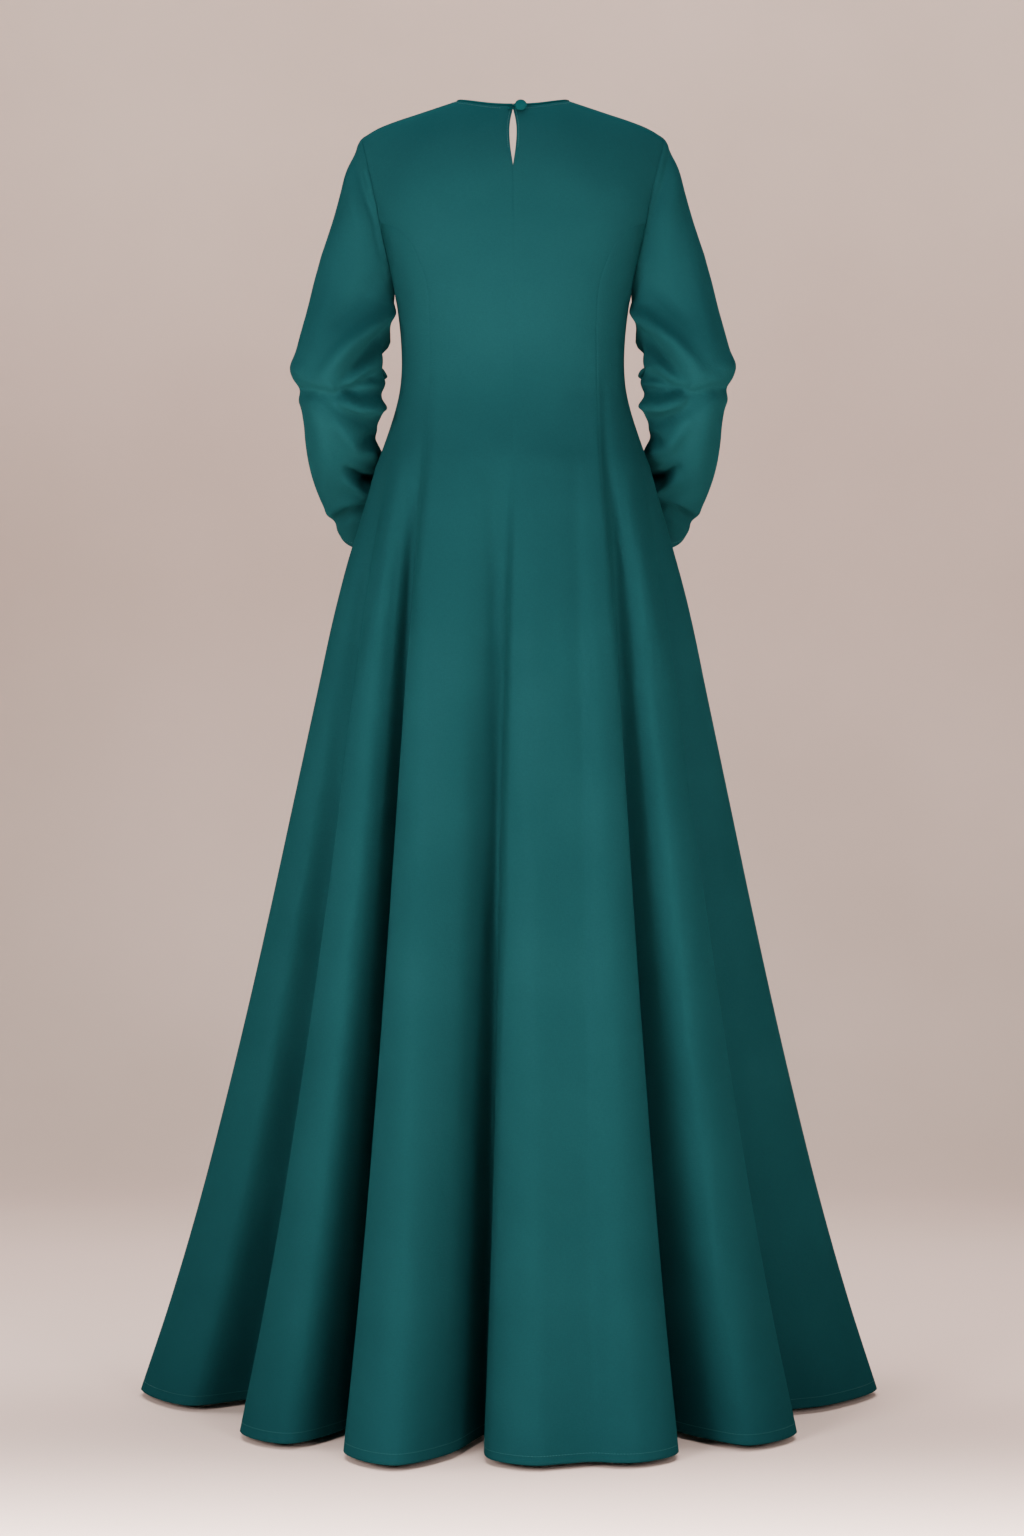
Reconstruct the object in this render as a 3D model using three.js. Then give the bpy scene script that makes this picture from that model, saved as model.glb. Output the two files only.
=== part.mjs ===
// A closed, full-length gown (abaya) with long sleeves, standing out round a wearer who is not there.
// Millimetres. +Z is up, +Y is the way the wearer faces and +X is the wearer's right. The origin is the middle
// of the neck opening, 3 mm above the neck ends of the shoulder seams, which is where the gown is held up.
// Every cut piece is a curved wall of cloth. Pieces meet edge to edge, with a hair's gap along each seam.
import * as THREE from "three";

// Cloth and seams
const clothWall = 2;
const seamGap = 0.3;
const sleeveSeamGap = 0.6;

// Heights of the places that the pieces are set out from
const bladeLevel = -130;
const junctionLevel = -148;
const underarmLevel = -225;
const sideSettledLevel = -260;
const hipLevel = -420;
const hemLevel = -1470;

// Shoulder, armhole and neck
const shoulderTipOut = 172;
const armholeOut = { blade: 153.5, junction: 150.5 };
const neckEdge = { halfWidth: 60, backTurn: 28.2, frontTurn: 65 };
const panelNeckEdge = { halfWidth: 64, backTurn: 30.3, frontTurn: 66.8 };
const binding = { outside: 0.5, inside: 2.4, clearance: 0.25 };

// The shoulder seam's height at each distance from the middle
const shoulderSeam = [
  { out: 0, height: 0 },
  { out: 40, height: -0.6 },
  { out: 60, height: -3 },
  { out: 70, height: -6 },
  { out: 90, height: -12.5 },
  { out: 110, height: -19 },
  { out: 132, height: -26 },
  { out: 153, height: -34 },
  { out: 172, height: -45 },
];

// Level sections of the fitted body. square is 2 for an ellipse and more for a boxier section.
const bodySections = [
  { level: -420, halfWidth: 155, back: 120, front: 126, square: 2 },
  { level: -385, halfWidth: 143.5, back: 105, front: 114, square: 2.05 },
  { level: -355, halfWidth: 133, back: 93, front: 104, square: 2.15 },
  { level: -320, halfWidth: 126, back: 86, front: 98, square: 2.2 },
  { level: -280, halfWidth: 127.5, back: 90, front: 106, square: 2.3 },
  { level: -237, halfWidth: 132.5, back: 99, front: 120, square: 2.35 },
  { level: -200, halfWidth: 142, back: 104, front: 122, square: 2.4 },
  { level: -165, halfWidth: 152, back: 106, front: 117, square: 2.5 },
  { level: -130, halfWidth: 160, back: 104, front: 110, square: 2.5 },
];

// The princess seams' distance from the middle at each level, back and front
const princessSeam = [
  { level: -385, out: 96 },
  { level: -320, out: 93.5 },
  { level: -243, out: 94.6 },
  { level: -220, out: 97.4 },
  { level: -197, out: 105 },
  { level: -174, out: 116.3 },
  { level: -157, out: 133.4 },
  { level: -148, out: 150.5 },
];

// The skirt's half-width at each level, which says how far it has flared from the hip to the hem
const skirtFlare = [
  { level: -1470, halfWidth: 420 },
  { level: -1369, halfWidth: 387 },
  { level: -1255, halfWidth: 354 },
  { level: -1141, halfWidth: 325 },
  { level: -1027, halfWidth: 298 },
  { level: -913, halfWidth: 272.7 },
  { level: -800, halfWidth: 248.6 },
  { level: -685, halfWidth: 224 },
  { level: -571, halfWidth: 199.5 },
  { level: -508, halfWidth: 182 },
  { level: -420, halfWidth: 155 },
];

// Folds of the skirt in turn, from the left side across the back and round the front. Each has a left shoulder,
// a crown, a right shoulder and then a valley, as x and y at the hem. hip gives the angles, from the middle of
// the back, that the crown and the valley hang from.
const folds = [
  { left: [-400, 46], crown: [-424, -3], right: [-358, -104], valley: [-284, -66], hip: [-90, -66] },
  { left: [-288, -262], crown: [-236, -312], right: [-192, -262], valley: [-154, -172], hip: [-54, -43] },
  { left: [-173, -365], crown: [-121, -420], right: [-67, -366], valley: [-28, -262], hip: [-34.4, -3.5] },
  { left: [-25, -388], crown: [20, -421], right: [54, -411], valley: [82, -402], hip: [8, 27] },
  { left: [108, -408], crown: [134, -403], right: [170, -362], valley: [152, -222], hip: [33, 43] },
  { left: [202, -284], crown: [247, -320], right: [302, -256], valley: [276, -150], hip: [52.6, 72] },
  { left: [352, -98], crown: [415, -2], right: [394, 48], valley: [322, 78], hip: [90, 102] },
  { left: [362, 126], crown: [380, 184], right: [330, 226], valley: [258, 192], hip: [111, 121] },
  { left: [284, 266], crown: [252, 324], right: [198, 298], valley: [154, 214], hip: [130, 138] },
  { left: [168, 340], crown: [110, 404], right: [46, 376], valley: [24, 258], hip: [150, 176] },
  { left: [-18, 370], crown: [-76, 410], right: [-150, 352], valley: [-142, 228], hip: [205, 223] },
  { left: [-186, 302], crown: [-236, 332], right: [-284, 270], valley: [-252, 186], hip: [231, 240] },
  { left: [-326, 228], crown: [-382, 170], right: [-370, 116], valley: [-316, 70], hip: [249, 259] },
];

// Places round the skirt are counted in quarters of a fold, each fold being left, crown, right and valley
const quartersRound = 4 * folds.length;
const leftSide = 1;
const leftPrincessBack = 8;
const centreBack = 35 / 3;
const rightPrincessBack = 18;
const rightSide = 25;
const rightPrincessFront = 36;
const leftPrincessFront = 42;

// The right arm below the shoulder: the middle of each section and its half-widths to the side and to the back
const armSections = [
  { middle: [186, -2, -246], side: 47.5, deep: 54 },
  { middle: [197.5, -22, -303], side: 50, deep: 53 },
  { middle: [197.5, -25, -322], side: 50, deep: 52 },
  { middle: [194, -16, -345], side: 47.5, deep: 51 },
  { middle: [195.5, 5, -372], side: 43.5, deep: 50 },
  { middle: [195, 38, -404], side: 41, deep: 47 },
  { middle: [187, 74, -432], side: 41, deep: 44 },
  { middle: [177, 104, -454], side: 40.5, deep: 42 },
  { middle: [168, 132, -472], side: 40, deep: 40 },
];
const sleeveHead = { along: 0.45, up: 55 };

// Keyhole slit at the back neck, with the button on its right edge and the loop on its left. belowNeck is how
// far below the neck edge the button sits, in degrees over the shoulders, and lean is how far its cap tips down
// on the shank, in degrees.
const keyhole = { top: -22, widest: -52, bottom: -92, halfWidth: 3.9 };
const button = { right: 8.3, belowNeck: 6.7, radius: 6.8, thick: 3.4, shankRadius: 1.5, clearance: 0.2, lift: 4.7, lean: 30 };
const loop = { cordRadius: 0.8, lift: 1.5, left: -6, aroundShank: 2.7 };

// How finely each piece is divided
const yokeSteps = 5;
const shoulderColumns = 5;
const upperLevels = [-148, -158, -176, -208, -260];
const waistLevels = [-320, -370, -420];
const skirtLevels = [-500, -620, -800, -1030, -1250, -1470];
const sleeveHeadRings = 4;

const radians = (angle) => (angle * Math.PI) / 180;
const degrees = (angle) => (angle * 180) / Math.PI;
const mix = THREE.MathUtils.lerp;
const clamp01 = (t) => THREE.MathUtils.clamp(t, 0, 1);
const steps = (count) => Array.from({ length: count + 1 }, (_, i) => i / count);

// A smooth curve through a table's rows that doesn't overshoot them
function monotone(xs, ys) {
  const slopes = xs.slice(1).map((x, i) => (ys[i + 1] - ys[i]) / (x - xs[i]));
  const tangents = xs.map((_, i) => {
    const before = slopes[Math.max(0, i - 1)];
    const after = slopes[Math.min(slopes.length - 1, i)];
    return before * after > 0 ? (2 * before * after) / (before + after) : 0;
  });
  return (x) => {
    const above = xs.findIndex((place) => place > x);
    const i = above < 0 ? xs.length - 2 : Math.max(0, above - 1);
    const span = xs[i + 1] - xs[i];
    const t = clamp01((x - xs[i]) / span);
    const rise = t * t * (3 - 2 * t);
    return mix(ys[i], ys[i + 1], rise) + span * t * (1 - t) * ((1 - t) * tangents[i] - t * tangents[i + 1]);
  };
}

function column(table, from, to) {
  return monotone(table.map((row) => row[from]), table.map((row) => row[to]));
}

// Fitted body: the point on the level section at an angle from the middle of the back
const bodyHalfWidth = column(bodySections, "level", "halfWidth");
const bodyBack = column(bodySections, "level", "back");
const bodyFront = column(bodySections, "level", "front");
const bodySquare = column(bodySections, "level", "square");

function bodyPoint(angle, level) {
  const sine = Math.sin(radians(angle));
  const cosine = Math.cos(radians(angle));
  const power = 2 / bodySquare(level);
  const depth = cosine > 0 ? bodyBack(level) : bodyFront(level);
  return new THREE.Vector3(
    bodyHalfWidth(level) * Math.sign(sine) * Math.abs(sine) ** power,
    -depth * Math.sign(cosine) * Math.abs(cosine) ** power,
    level,
  );
}

// The angle at which the level section is that far out from the middle
function angleAt(out, level) {
  return degrees(Math.asin(clamp01(out / bodyHalfWidth(level)) ** (bodySquare(level) / 2)));
}

// Skirt: each place on the hem hangs on a straight line from its own angle at the hip
const hemCurve = new THREE.CatmullRomCurve3(
  folds
    .flatMap((fold) => [fold.left, fold.crown, fold.right, fold.valley])
    .map(([x, y]) => new THREE.Vector3(x, y, hemLevel)),
  true,
  "centripetal",
);
const hipAnglesOnce = folds.flatMap((fold, i) => {
  const valleyBefore = i > 0 ? folds[i - 1].hip[1] : folds[folds.length - 1].hip[1] - 360;
  const [crown, valley] = fold.hip;
  return [mix(valleyBefore, crown, 0.5), crown, mix(crown, valley, 0.5), valley];
});
const hipAngles = [...hipAnglesOnce, ...hipAnglesOnce.slice(0, 3).map((angle) => angle + 360)];
const hipAngle = monotone(hipAngles.map((_, i) => i), hipAngles);
const flareHalfWidth = column(skirtFlare, "level", "halfWidth");

function skirtPoint(quarters, level) {
  const start = flareHalfWidth(hipLevel);
  const flared = (flareHalfWidth(level) - start) / (flareHalfWidth(hemLevel) - start);
  const hip = bodyPoint(hipAngle(quarters), hipLevel);
  const hem = hemCurve.getPoint((quarters % quartersRound) / quartersRound);
  return hip.lerp(hem, flared).setZ(level);
}

// Yoke: the rounded top of the body. across runs from -1 at the left armhole to 1 at the right one, and turn
// from 0 on the shoulder seam to 90 at the shoulder blades.
const shoulderHeight = column(shoulderSeam, "out", "height");
const armholeSwing = angleAt(armholeOut.blade, bladeLevel);

function yokePoint(isFront, across, turn) {
  const swing = across * armholeSwing;
  const blade = bodyPoint(isFront ? 180 - swing : swing, bladeLevel);
  const crest = across * shoulderTipOut;
  const over = 1 - Math.cos(radians(turn));
  return new THREE.Vector3(
    mix(crest, blade.x, over),
    blade.y * Math.sin(radians(turn)),
    mix(shoulderHeight(Math.abs(crest)), bladeLevel, over),
  );
}

// Where a rounded neck edge crosses the yoke. sweep is 0 at the middle of the back or front and 90 at the
// shoulder.
function neckPlace(isFront, sweep, edge) {
  const turn = (isFront ? edge.frontTurn : edge.backTurn) * clamp01(Math.cos(radians(sweep))) ** 0.65;
  const out = edge.halfWidth * Math.sin(radians(sweep));
  let across = out / shoulderTipOut;
  for (let pass = 0; pass < 8; pass += 1) {
    across += (out - yokePoint(isFront, across, turn).x) / shoulderTipOut;
  }
  return { across, turn };
}

// The top edge of a centre panel: along the shoulder seam from the tip, then round the neck edge
function topPlace(isFront, side, columnIndex, neckColumns) {
  const neckAcross = panelNeckEdge.halfWidth / shoulderTipOut;
  if (columnIndex <= shoulderColumns)
    return { across: side * mix(1, neckAcross, columnIndex / shoulderColumns), turn: 0 };
  const sweep = 90 * (1 - (columnIndex - shoulderColumns) / neckColumns);
  const place = neckPlace(isFront, sweep, panelNeckEdge);
  return { across: side * place.across, turn: place.turn };
}

function keyholeHalfWidth(height) {
  const above = (keyhole.top - height) / (keyhole.top - keyhole.widest);
  const below = (height - keyhole.bottom) / (keyhole.widest - keyhole.bottom);
  return keyhole.halfWidth * Math.sin(radians(90 * clamp01(Math.min(above, below))));
}

// Princess seam: its angle from the middle at each level, settling into the skirt's own fold at the hip
const princessOut = column(princessSeam, "level", "out");

function princessAngle(level, angleAtHip) {
  const lowest = princessSeam[0].level;
  const settled = clamp01((lowest - level) / (lowest - hipLevel));
  return mix(angleAt(princessOut(Math.max(level, lowest)), level), angleAtHip, settled);
}

// Armhole below the yoke: from its junction with the princess seam (share 0) to the underarm (share 1)
function armholePlace(share) {
  return {
    angle: mix(angleAt(armholeOut.junction, junctionLevel), 90, 1 - Math.cos(radians(90 * share))),
    level: mix(junctionLevel, underarmLevel, Math.sin(radians(90 * share))),
  };
}

// Every panel's columns: each has its place round the skirt and its share of the panel's width at the hip
function panelColumns(from, to, perQuarter) {
  const start = hipAngle(from);
  const end = hipAngle(to);
  return steps(Math.round((to - from) * perQuarter)).map((even) => {
    const quarters = mix(from, to, even);
    return { quarters, share: (hipAngle(quarters) - start) / (end - start) };
  });
}

// A centre panel's grid of rows from the neck and shoulder to the hem. from and to each give the place round
// the skirt, the side it lies on (-1 left, 0 middle, 1 right) and the angle at the hip from the panel's middle.
function centrePanel({ isFront, from, to, perQuarter }) {
  const columns = panelColumns(from.quarters, to.quarters, perQuarter);
  const last = columns.length - 1;
  const neckColumns = from.side * to.side ? last / 2 - shoulderColumns : last - shoulderColumns;
  const middle = isFront ? 180 : 0;
  const facing = isFront ? -1 : 1;
  const rows = steps(yokeSteps).map((down) =>
    columns.map(({ share }, i) => {
      const side = from.side && (!to.side || i <= last / 2) ? from.side : to.side;
      const top = topPlace(isFront, side, side === from.side ? i : last - i, neckColumns);
      const across = mix(top.across, mix(from.side, to.side, share), down);
      return yokePoint(isFront, across, mix(top.turn, 90, down));
    }),
  );
  for (const level of [...upperLevels, ...waistLevels]) {
    const start = facing * from.side * princessAngle(level, from.hipAngle);
    const end = facing * to.side * princessAngle(level, to.hipAngle);
    rows.push(columns.map(({ share }) => bodyPoint(middle + mix(start, end, share), level)));
  }
  for (const level of skirtLevels) rows.push(columns.map(({ quarters }) => skirtPoint(quarters, level)));
  return rows;
}

// A side panel's grid of rows from the armhole to the hem. place turns an angle from the nearest middle into
// one from the middle of the back.
function sidePanel({ from, to, perQuarter, fromSideSeam, princessAtHip, place }) {
  const columns = panelColumns(from, to, perQuarter).map((entry) => ({
    ...entry,
    share: fromSideSeam ? 1 - entry.share : entry.share,
  }));
  const junctionAngle = armholePlace(0).angle;
  const rows = upperLevels.map((seamLevel) => {
    const down = (seamLevel - junctionLevel) / (sideSettledLevel - junctionLevel);
    return columns.map(({ share }) => {
      const top = armholePlace(share);
      const spread = mix((top.angle - junctionAngle) / (90 - junctionAngle), share, down);
      const angle = mix(princessAngle(seamLevel, princessAtHip), 90, spread);
      return bodyPoint(place(angle), mix(top.level, sideSettledLevel, down));
    });
  });
  for (const level of waistLevels) {
    const seam = princessAngle(level, princessAtHip);
    rows.push(columns.map(({ share }) => bodyPoint(place(mix(seam, 90, share)), level)));
  }
  for (const level of skirtLevels) rows.push(columns.map(({ quarters }) => skirtPoint(quarters, level)));
  return rows;
}

// Sleeve: rings from the armhole, over the sleeve head and down the bent arm to the wrist
function armRing(section, direction, angles, side) {
  const [x, y, z] = section.middle;
  const toSide = new THREE.Vector3(1, 0, 0).addScaledVector(direction, -direction.x).normalize();
  const toBack = direction.clone().cross(toSide).normalize();
  return angles.map((angle) => {
    const point = new THREE.Vector3(x, y, z)
      .addScaledVector(toSide, section.side * Math.cos(radians(angle)))
      .addScaledVector(toBack, section.deep * Math.sin(radians(angle)));
    point.x *= side;
    return point;
  });
}

function sleeve(armhole, underarm, side) {
  const lengths = [0];
  armhole.forEach((point, i) => {
    lengths.push(lengths[i] + point.distanceTo(armhole[(i + 1) % armhole.length]));
  });
  const under = lengths[underarm];
  const around = lengths[armhole.length];
  const angles = armhole.map((_, i) =>
    i <= underarm ? (180 * lengths[i]) / under : 180 + (180 * (lengths[i] - under)) / (around - under),
  );
  const turned = angles.map((angle) => (side > 0 ? -angle : angle));
  const middles = armSections.map(({ middle }) => new THREE.Vector3(...middle));
  const directions = middles.map((middle, i) => {
    const before = middles[Math.max(0, i - 1)];
    const after = middles[Math.min(middles.length - 1, i + 1)];
    return after.clone().sub(before).normalize();
  });
  const rings = armSections.map((section, i) => armRing(section, directions[i], turned, side));
  const head = steps(sleeveHeadRings)
    .slice(0, -1)
    .map((t) =>
      armhole.map((start, i) => {
        const end = rings[0][i];
        const high = 0.5 + 0.5 * Math.cos(radians(angles[i]));
        const bulge = start.clone().lerp(end, sleeveHead.along);
        bulge.z += sleeveHead.up * high ** 2;
        const a = start.clone().lerp(bulge, t);
        return a.lerp(bulge.lerp(end, t), t);
      }),
    );
  return [...head, ...rings];
}

// Walls: the cloth's thickness is set inward along the normals that all the joined pieces share
const keyOf = (point) => point.toArray().map((value) => Math.round(value * 100)).join(" ");

function quadsOf({ rows, closed }) {
  const wide = rows[0].length;
  const columns = closed ? wide : wide - 1;
  const quads = [];
  for (let r = 0; r < rows.length - 1; r += 1)
    for (let c = 0; c < columns; c += 1) quads.push([r, c, (c + 1) % wide]);
  return quads;
}

function sharedNormals(pieces) {
  const normals = new Map();
  for (const piece of pieces)
    for (const [r, c, d] of quadsOf(piece)) {
      const corners = [piece.rows[r][c], piece.rows[r + 1][c], piece.rows[r + 1][d], piece.rows[r][d]];
      const acrossDown = corners[2].clone().sub(corners[0]);
      const normal = acrossDown.cross(corners[3].clone().sub(corners[1])).normalize();
      for (const corner of corners) {
        const key = keyOf(corner);
        normals.set(key, (normals.get(key) ?? new THREE.Vector3()).add(normal));
      }
    }
  for (const normal of normals.values()) normal.normalize();
  return normals;
}

// Half of the gap at a seam: the edge moves square to the seam, in the plane of the cloth there
function edgeMove(normal, before, after, inward, gap) {
  const away = after.clone().sub(before).cross(normal).normalize();
  return away.multiplyScalar(away.dot(inward) < 0 ? -gap : gap);
}

function seamMove({ rows, closed, side }, normal, r, c) {
  const move = new THREE.Vector3();
  const row = rows[r];
  const last = row.length - 1;
  const point = row[c];
  if (r === 0 && closed) {
    const outward = new THREE.Vector3(side, 0, 0);
    return edgeMove(normal, row.at(c - 1), row[(c + 1) % row.length], outward, sleeveSeamGap);
  }
  if (r === 0) {
    const below = rows[1][c].clone().sub(point);
    move.add(edgeMove(normal, row[Math.max(0, c - 1)], row[Math.min(last, c + 1)], below, seamGap / 2));
  }
  if (!closed && (c === 0 || c === last)) {
    const above = rows[Math.max(0, r - 1)][c];
    const below = rows[Math.min(rows.length - 1, r + 1)][c];
    const inward = row[c === 0 ? 1 : last - 1].clone().sub(point);
    move.add(edgeMove(normal, above, below, inward, seamGap / 2));
  }
  return move;
}

function indexedGeometry(points, index) {
  const coordinates = points.flatMap((point) => point.toArray());
  const geometry = new THREE.BufferGeometry();
  geometry.setAttribute("position", new THREE.Float32BufferAttribute(coordinates, 3));
  geometry.setIndex(index);
  geometry.computeVertexNormals();
  return geometry;
}

function wallGeometry(outer, inner, closed) {
  const wide = outer[0].length;
  const high = outer.length;
  const points = [...outer.flat(), ...inner.flat()];
  const indexOf = (isInner, r, c) => (isInner ? high * wide : 0) + r * wide + c;
  const index = [];
  const face = (a, b, c, d) => index.push(a, b, c, a, c, d);
  for (const [r, c, d] of quadsOf({ rows: outer, closed })) {
    face(indexOf(0, r, c), indexOf(0, r + 1, c), indexOf(0, r + 1, d), indexOf(0, r, d));
    face(indexOf(1, r, d), indexOf(1, r + 1, d), indexOf(1, r + 1, c), indexOf(1, r, c));
  }
  for (let c = 0; c < (closed ? wide : wide - 1); c += 1) {
    const d = (c + 1) % wide;
    const top = [indexOf(0, 0, c), indexOf(0, 0, d), indexOf(1, 0, d), indexOf(1, 0, c)];
    if (closed) top.push(top.shift());
    face(...top);
    face(indexOf(0, high - 1, d), indexOf(0, high - 1, c), indexOf(1, high - 1, c), indexOf(1, high - 1, d));
  }
  for (let r = 0; !closed && r < high - 1; r += 1) {
    face(indexOf(0, r + 1, 0), indexOf(0, r, 0), indexOf(1, r, 0), indexOf(1, r + 1, 0));
    const end = wide - 1;
    face(indexOf(0, r + 1, end), indexOf(1, r + 1, end), indexOf(1, r, end), indexOf(0, r, end));
  }
  return indexedGeometry(points, index);
}

function clothPiece(piece, normals) {
  const outer = piece.rows.map((row) => row.map((point) => point.clone()));
  const inner = piece.rows.map((row) => row.map((point) => point.clone()));
  piece.rows.forEach((row, r) =>
    row.forEach((point, c) => {
      const normal = normals.get(keyOf(point));
      const move = seamMove(piece, normal, r, c);
      outer[r][c].add(move);
      inner[r][c].add(move).addScaledVector(normal, -clothWall);
    }),
  );
  for (const row of piece.keyholeSide ? [...outer, ...inner] : []) {
    const edge = piece.keyholeSide < 0 ? row.length - 1 : 0;
    row.forEach((point, c) => {
      const share = 1 - Math.abs(c - edge) / (row.length - 1);
      point.x += piece.keyholeSide * keyholeHalfWidth(point.z) * share ** 4;
    });
  }
  return wallGeometry(outer, inner, piece.closed);
}

// The pieces of the body
function seamPlace(quarters, side, middle) {
  return { quarters, side, hipAngle: Math.abs(hipAngle(quarters) - middle) };
}
const atLeftPrincessBack = seamPlace(leftPrincessBack, -1, 0);
const atRightPrincessBack = seamPlace(rightPrincessBack, 1, 0);
const atRightPrincessFront = seamPlace(rightPrincessFront, 1, 180);
const atLeftPrincessFront = seamPlace(leftPrincessFront, -1, 180);
const atCentreBack = { quarters: centreBack, side: 0, hipAngle: 0 };

const backLeft = centrePanel({ from: atLeftPrincessBack, to: atCentreBack, perQuarter: 3 });
const backRight = centrePanel({ from: atCentreBack, to: atRightPrincessBack, perQuarter: 3 });
const front = centrePanel({
  isFront: true,
  from: atRightPrincessFront,
  to: atLeftPrincessFront,
  perQuarter: 3,
});
const sideBackLeft = sidePanel({
  from: leftSide,
  to: leftPrincessBack,
  perQuarter: 2,
  fromSideSeam: true,
  princessAtHip: atLeftPrincessBack.hipAngle,
  place: (angle) => -angle,
});
const sideBackRight = sidePanel({
  from: rightPrincessBack,
  to: rightSide,
  perQuarter: 2,
  fromSideSeam: false,
  princessAtHip: atRightPrincessBack.hipAngle,
  place: (angle) => angle,
});
const sideFrontRight = sidePanel({
  from: rightSide,
  to: rightPrincessFront,
  perQuarter: 18 / 11,
  fromSideSeam: true,
  princessAtHip: atRightPrincessFront.hipAngle,
  place: (angle) => 180 - angle,
});
const sideFrontLeft = sidePanel({
  from: leftPrincessFront,
  to: quartersRound + leftSide,
  perQuarter: 18 / 11,
  fromSideSeam: false,
  princessAtHip: atLeftPrincessFront.hipAngle,
  place: (angle) => 180 + angle,
});

// The armholes' edges, gathered from the panels round them, and the sleeves set into them
const yokeEdge = (rows, at) => rows.slice(0, yokeSteps + 1).map((row) => row.at(at));
const leftArmhole = [
  ...yokeEdge(backLeft, 0),
  ...sideBackLeft[0].toReversed(),
  ...sideFrontLeft[0].toReversed().slice(1),
  ...yokeEdge(front, -1).toReversed().slice(0, -1),
];
const rightArmhole = [
  ...yokeEdge(front, 0),
  ...sideFrontRight[0].toReversed(),
  ...sideBackRight[0].toReversed().slice(1),
  ...yokeEdge(backRight, -1).toReversed().slice(0, -1),
];
const leftSleeve = sleeve(leftArmhole, yokeSteps + sideBackLeft[0].length, -1);
const rightSleeve = sleeve(rightArmhole, yokeSteps + sideFrontRight[0].length, 1);

const clothPieces = [
  { name: "back_left", rows: backLeft, keyholeSide: -1 },
  { name: "back_right", rows: backRight, keyholeSide: 1 },
  { name: "side_back_left", rows: sideBackLeft },
  { name: "side_back_right", rows: sideBackRight },
  { name: "front", rows: front },
  { name: "side_front_left", rows: sideFrontLeft },
  { name: "side_front_right", rows: sideFrontRight },
  { name: "sleeve_left", rows: leftSleeve, closed: true, side: -1 },
  { name: "sleeve_right", rows: rightSleeve, closed: true, side: 1 },
];

// The neck binding: a narrow strip that caps the neck edge from one side of the keyhole round to the other
function neckBinding(normals) {
  const backRightSweeps = steps(backRight[0].length - 1 - shoulderColumns).map((t) => 90 * t);
  const backLeftSweeps = steps(backLeft[0].length - 1 - shoulderColumns).map((t) => 90 * (1 - t));
  const frontSweeps = steps((front[0].length - 1) / 2 - shoulderColumns).map((t) => 90 * t);
  const stations = [
    ...backRightSweeps.slice(0, -1).map((sweep) => ({ isFront: false, side: 1, sweep })),
    ...frontSweeps.toReversed().map((sweep) => ({ isFront: true, side: 1, sweep })),
    ...frontSweeps.slice(1).map((sweep) => ({ isFront: true, side: -1, sweep })),
    ...backLeftSweeps.slice(1).map((sweep) => ({ isFront: false, side: -1, sweep })),
  ];
  const rails = [[], [], [], []];
  for (const { isFront, side, sweep } of stations) {
    const upper = neckPlace(isFront, sweep, neckEdge);
    const lower = neckPlace(isFront, sweep, panelNeckEdge);
    const top = yokePoint(isFront, side * upper.across, upper.turn);
    const bottom = yokePoint(isFront, side * lower.across, lower.turn);
    const normal = normals.get(keyOf(bottom));
    bottom.addScaledVector(top.clone().sub(bottom).normalize(), binding.clearance);
    const atKeyhole = !isFront && sweep === 0;
    for (const point of [top, bottom]) {
      const nearness = isFront ? 0 : Math.cos(radians(sweep)) ** 8;
      point.x += side * (keyholeHalfWidth(point.z) * nearness + (atKeyhole ? seamGap : 0));
    }
    rails[0].push(top.clone().addScaledVector(normal, binding.outside));
    rails[1].push(bottom.clone().addScaledVector(normal, binding.outside));
    rails[2].push(bottom.clone().addScaledVector(normal, -binding.inside));
    rails[3].push(top.clone().addScaledVector(normal, -binding.inside));
  }
  const count = stations.length;
  const index = [];
  const face = (a, b, c, d) => index.push(a, b, c, a, c, d);
  for (let rail = 0; rail < 4; rail += 1)
    for (let i = 0; i < count - 1; i += 1) {
      const next = ((rail + 1) % 4) * count;
      face(rail * count + i, next + i, next + i + 1, rail * count + i + 1);
    }
  face(0, 3 * count, 2 * count, count);
  face(count - 1, 2 * count - 1, 3 * count - 1, 4 * count - 1);
  return indexedGeometry(rails.flat(), index);
}

// The button and its loop lie on the cloth beside the top of the keyhole
const buttonPlace = neckPlace(false, degrees(Math.asin(button.right / neckEdge.halfWidth)), neckEdge);
const buttonSeat = yokePoint(false, buttonPlace.across, buttonPlace.turn + button.belowNeck);
const seatDown = yokePoint(false, buttonPlace.across, buttonPlace.turn + button.belowNeck + 2).sub(buttonSeat).normalize();
const seatNormal = new THREE.Vector3(1, 0, 0).cross(seatDown).negate().normalize();
const seatFrame = new THREE.Matrix4().makeBasis(
  new THREE.Vector3(1, 0, 0),
  seatDown.clone().negate(),
  seatNormal,
);
seatFrame.setPosition(buttonSeat);

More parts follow.
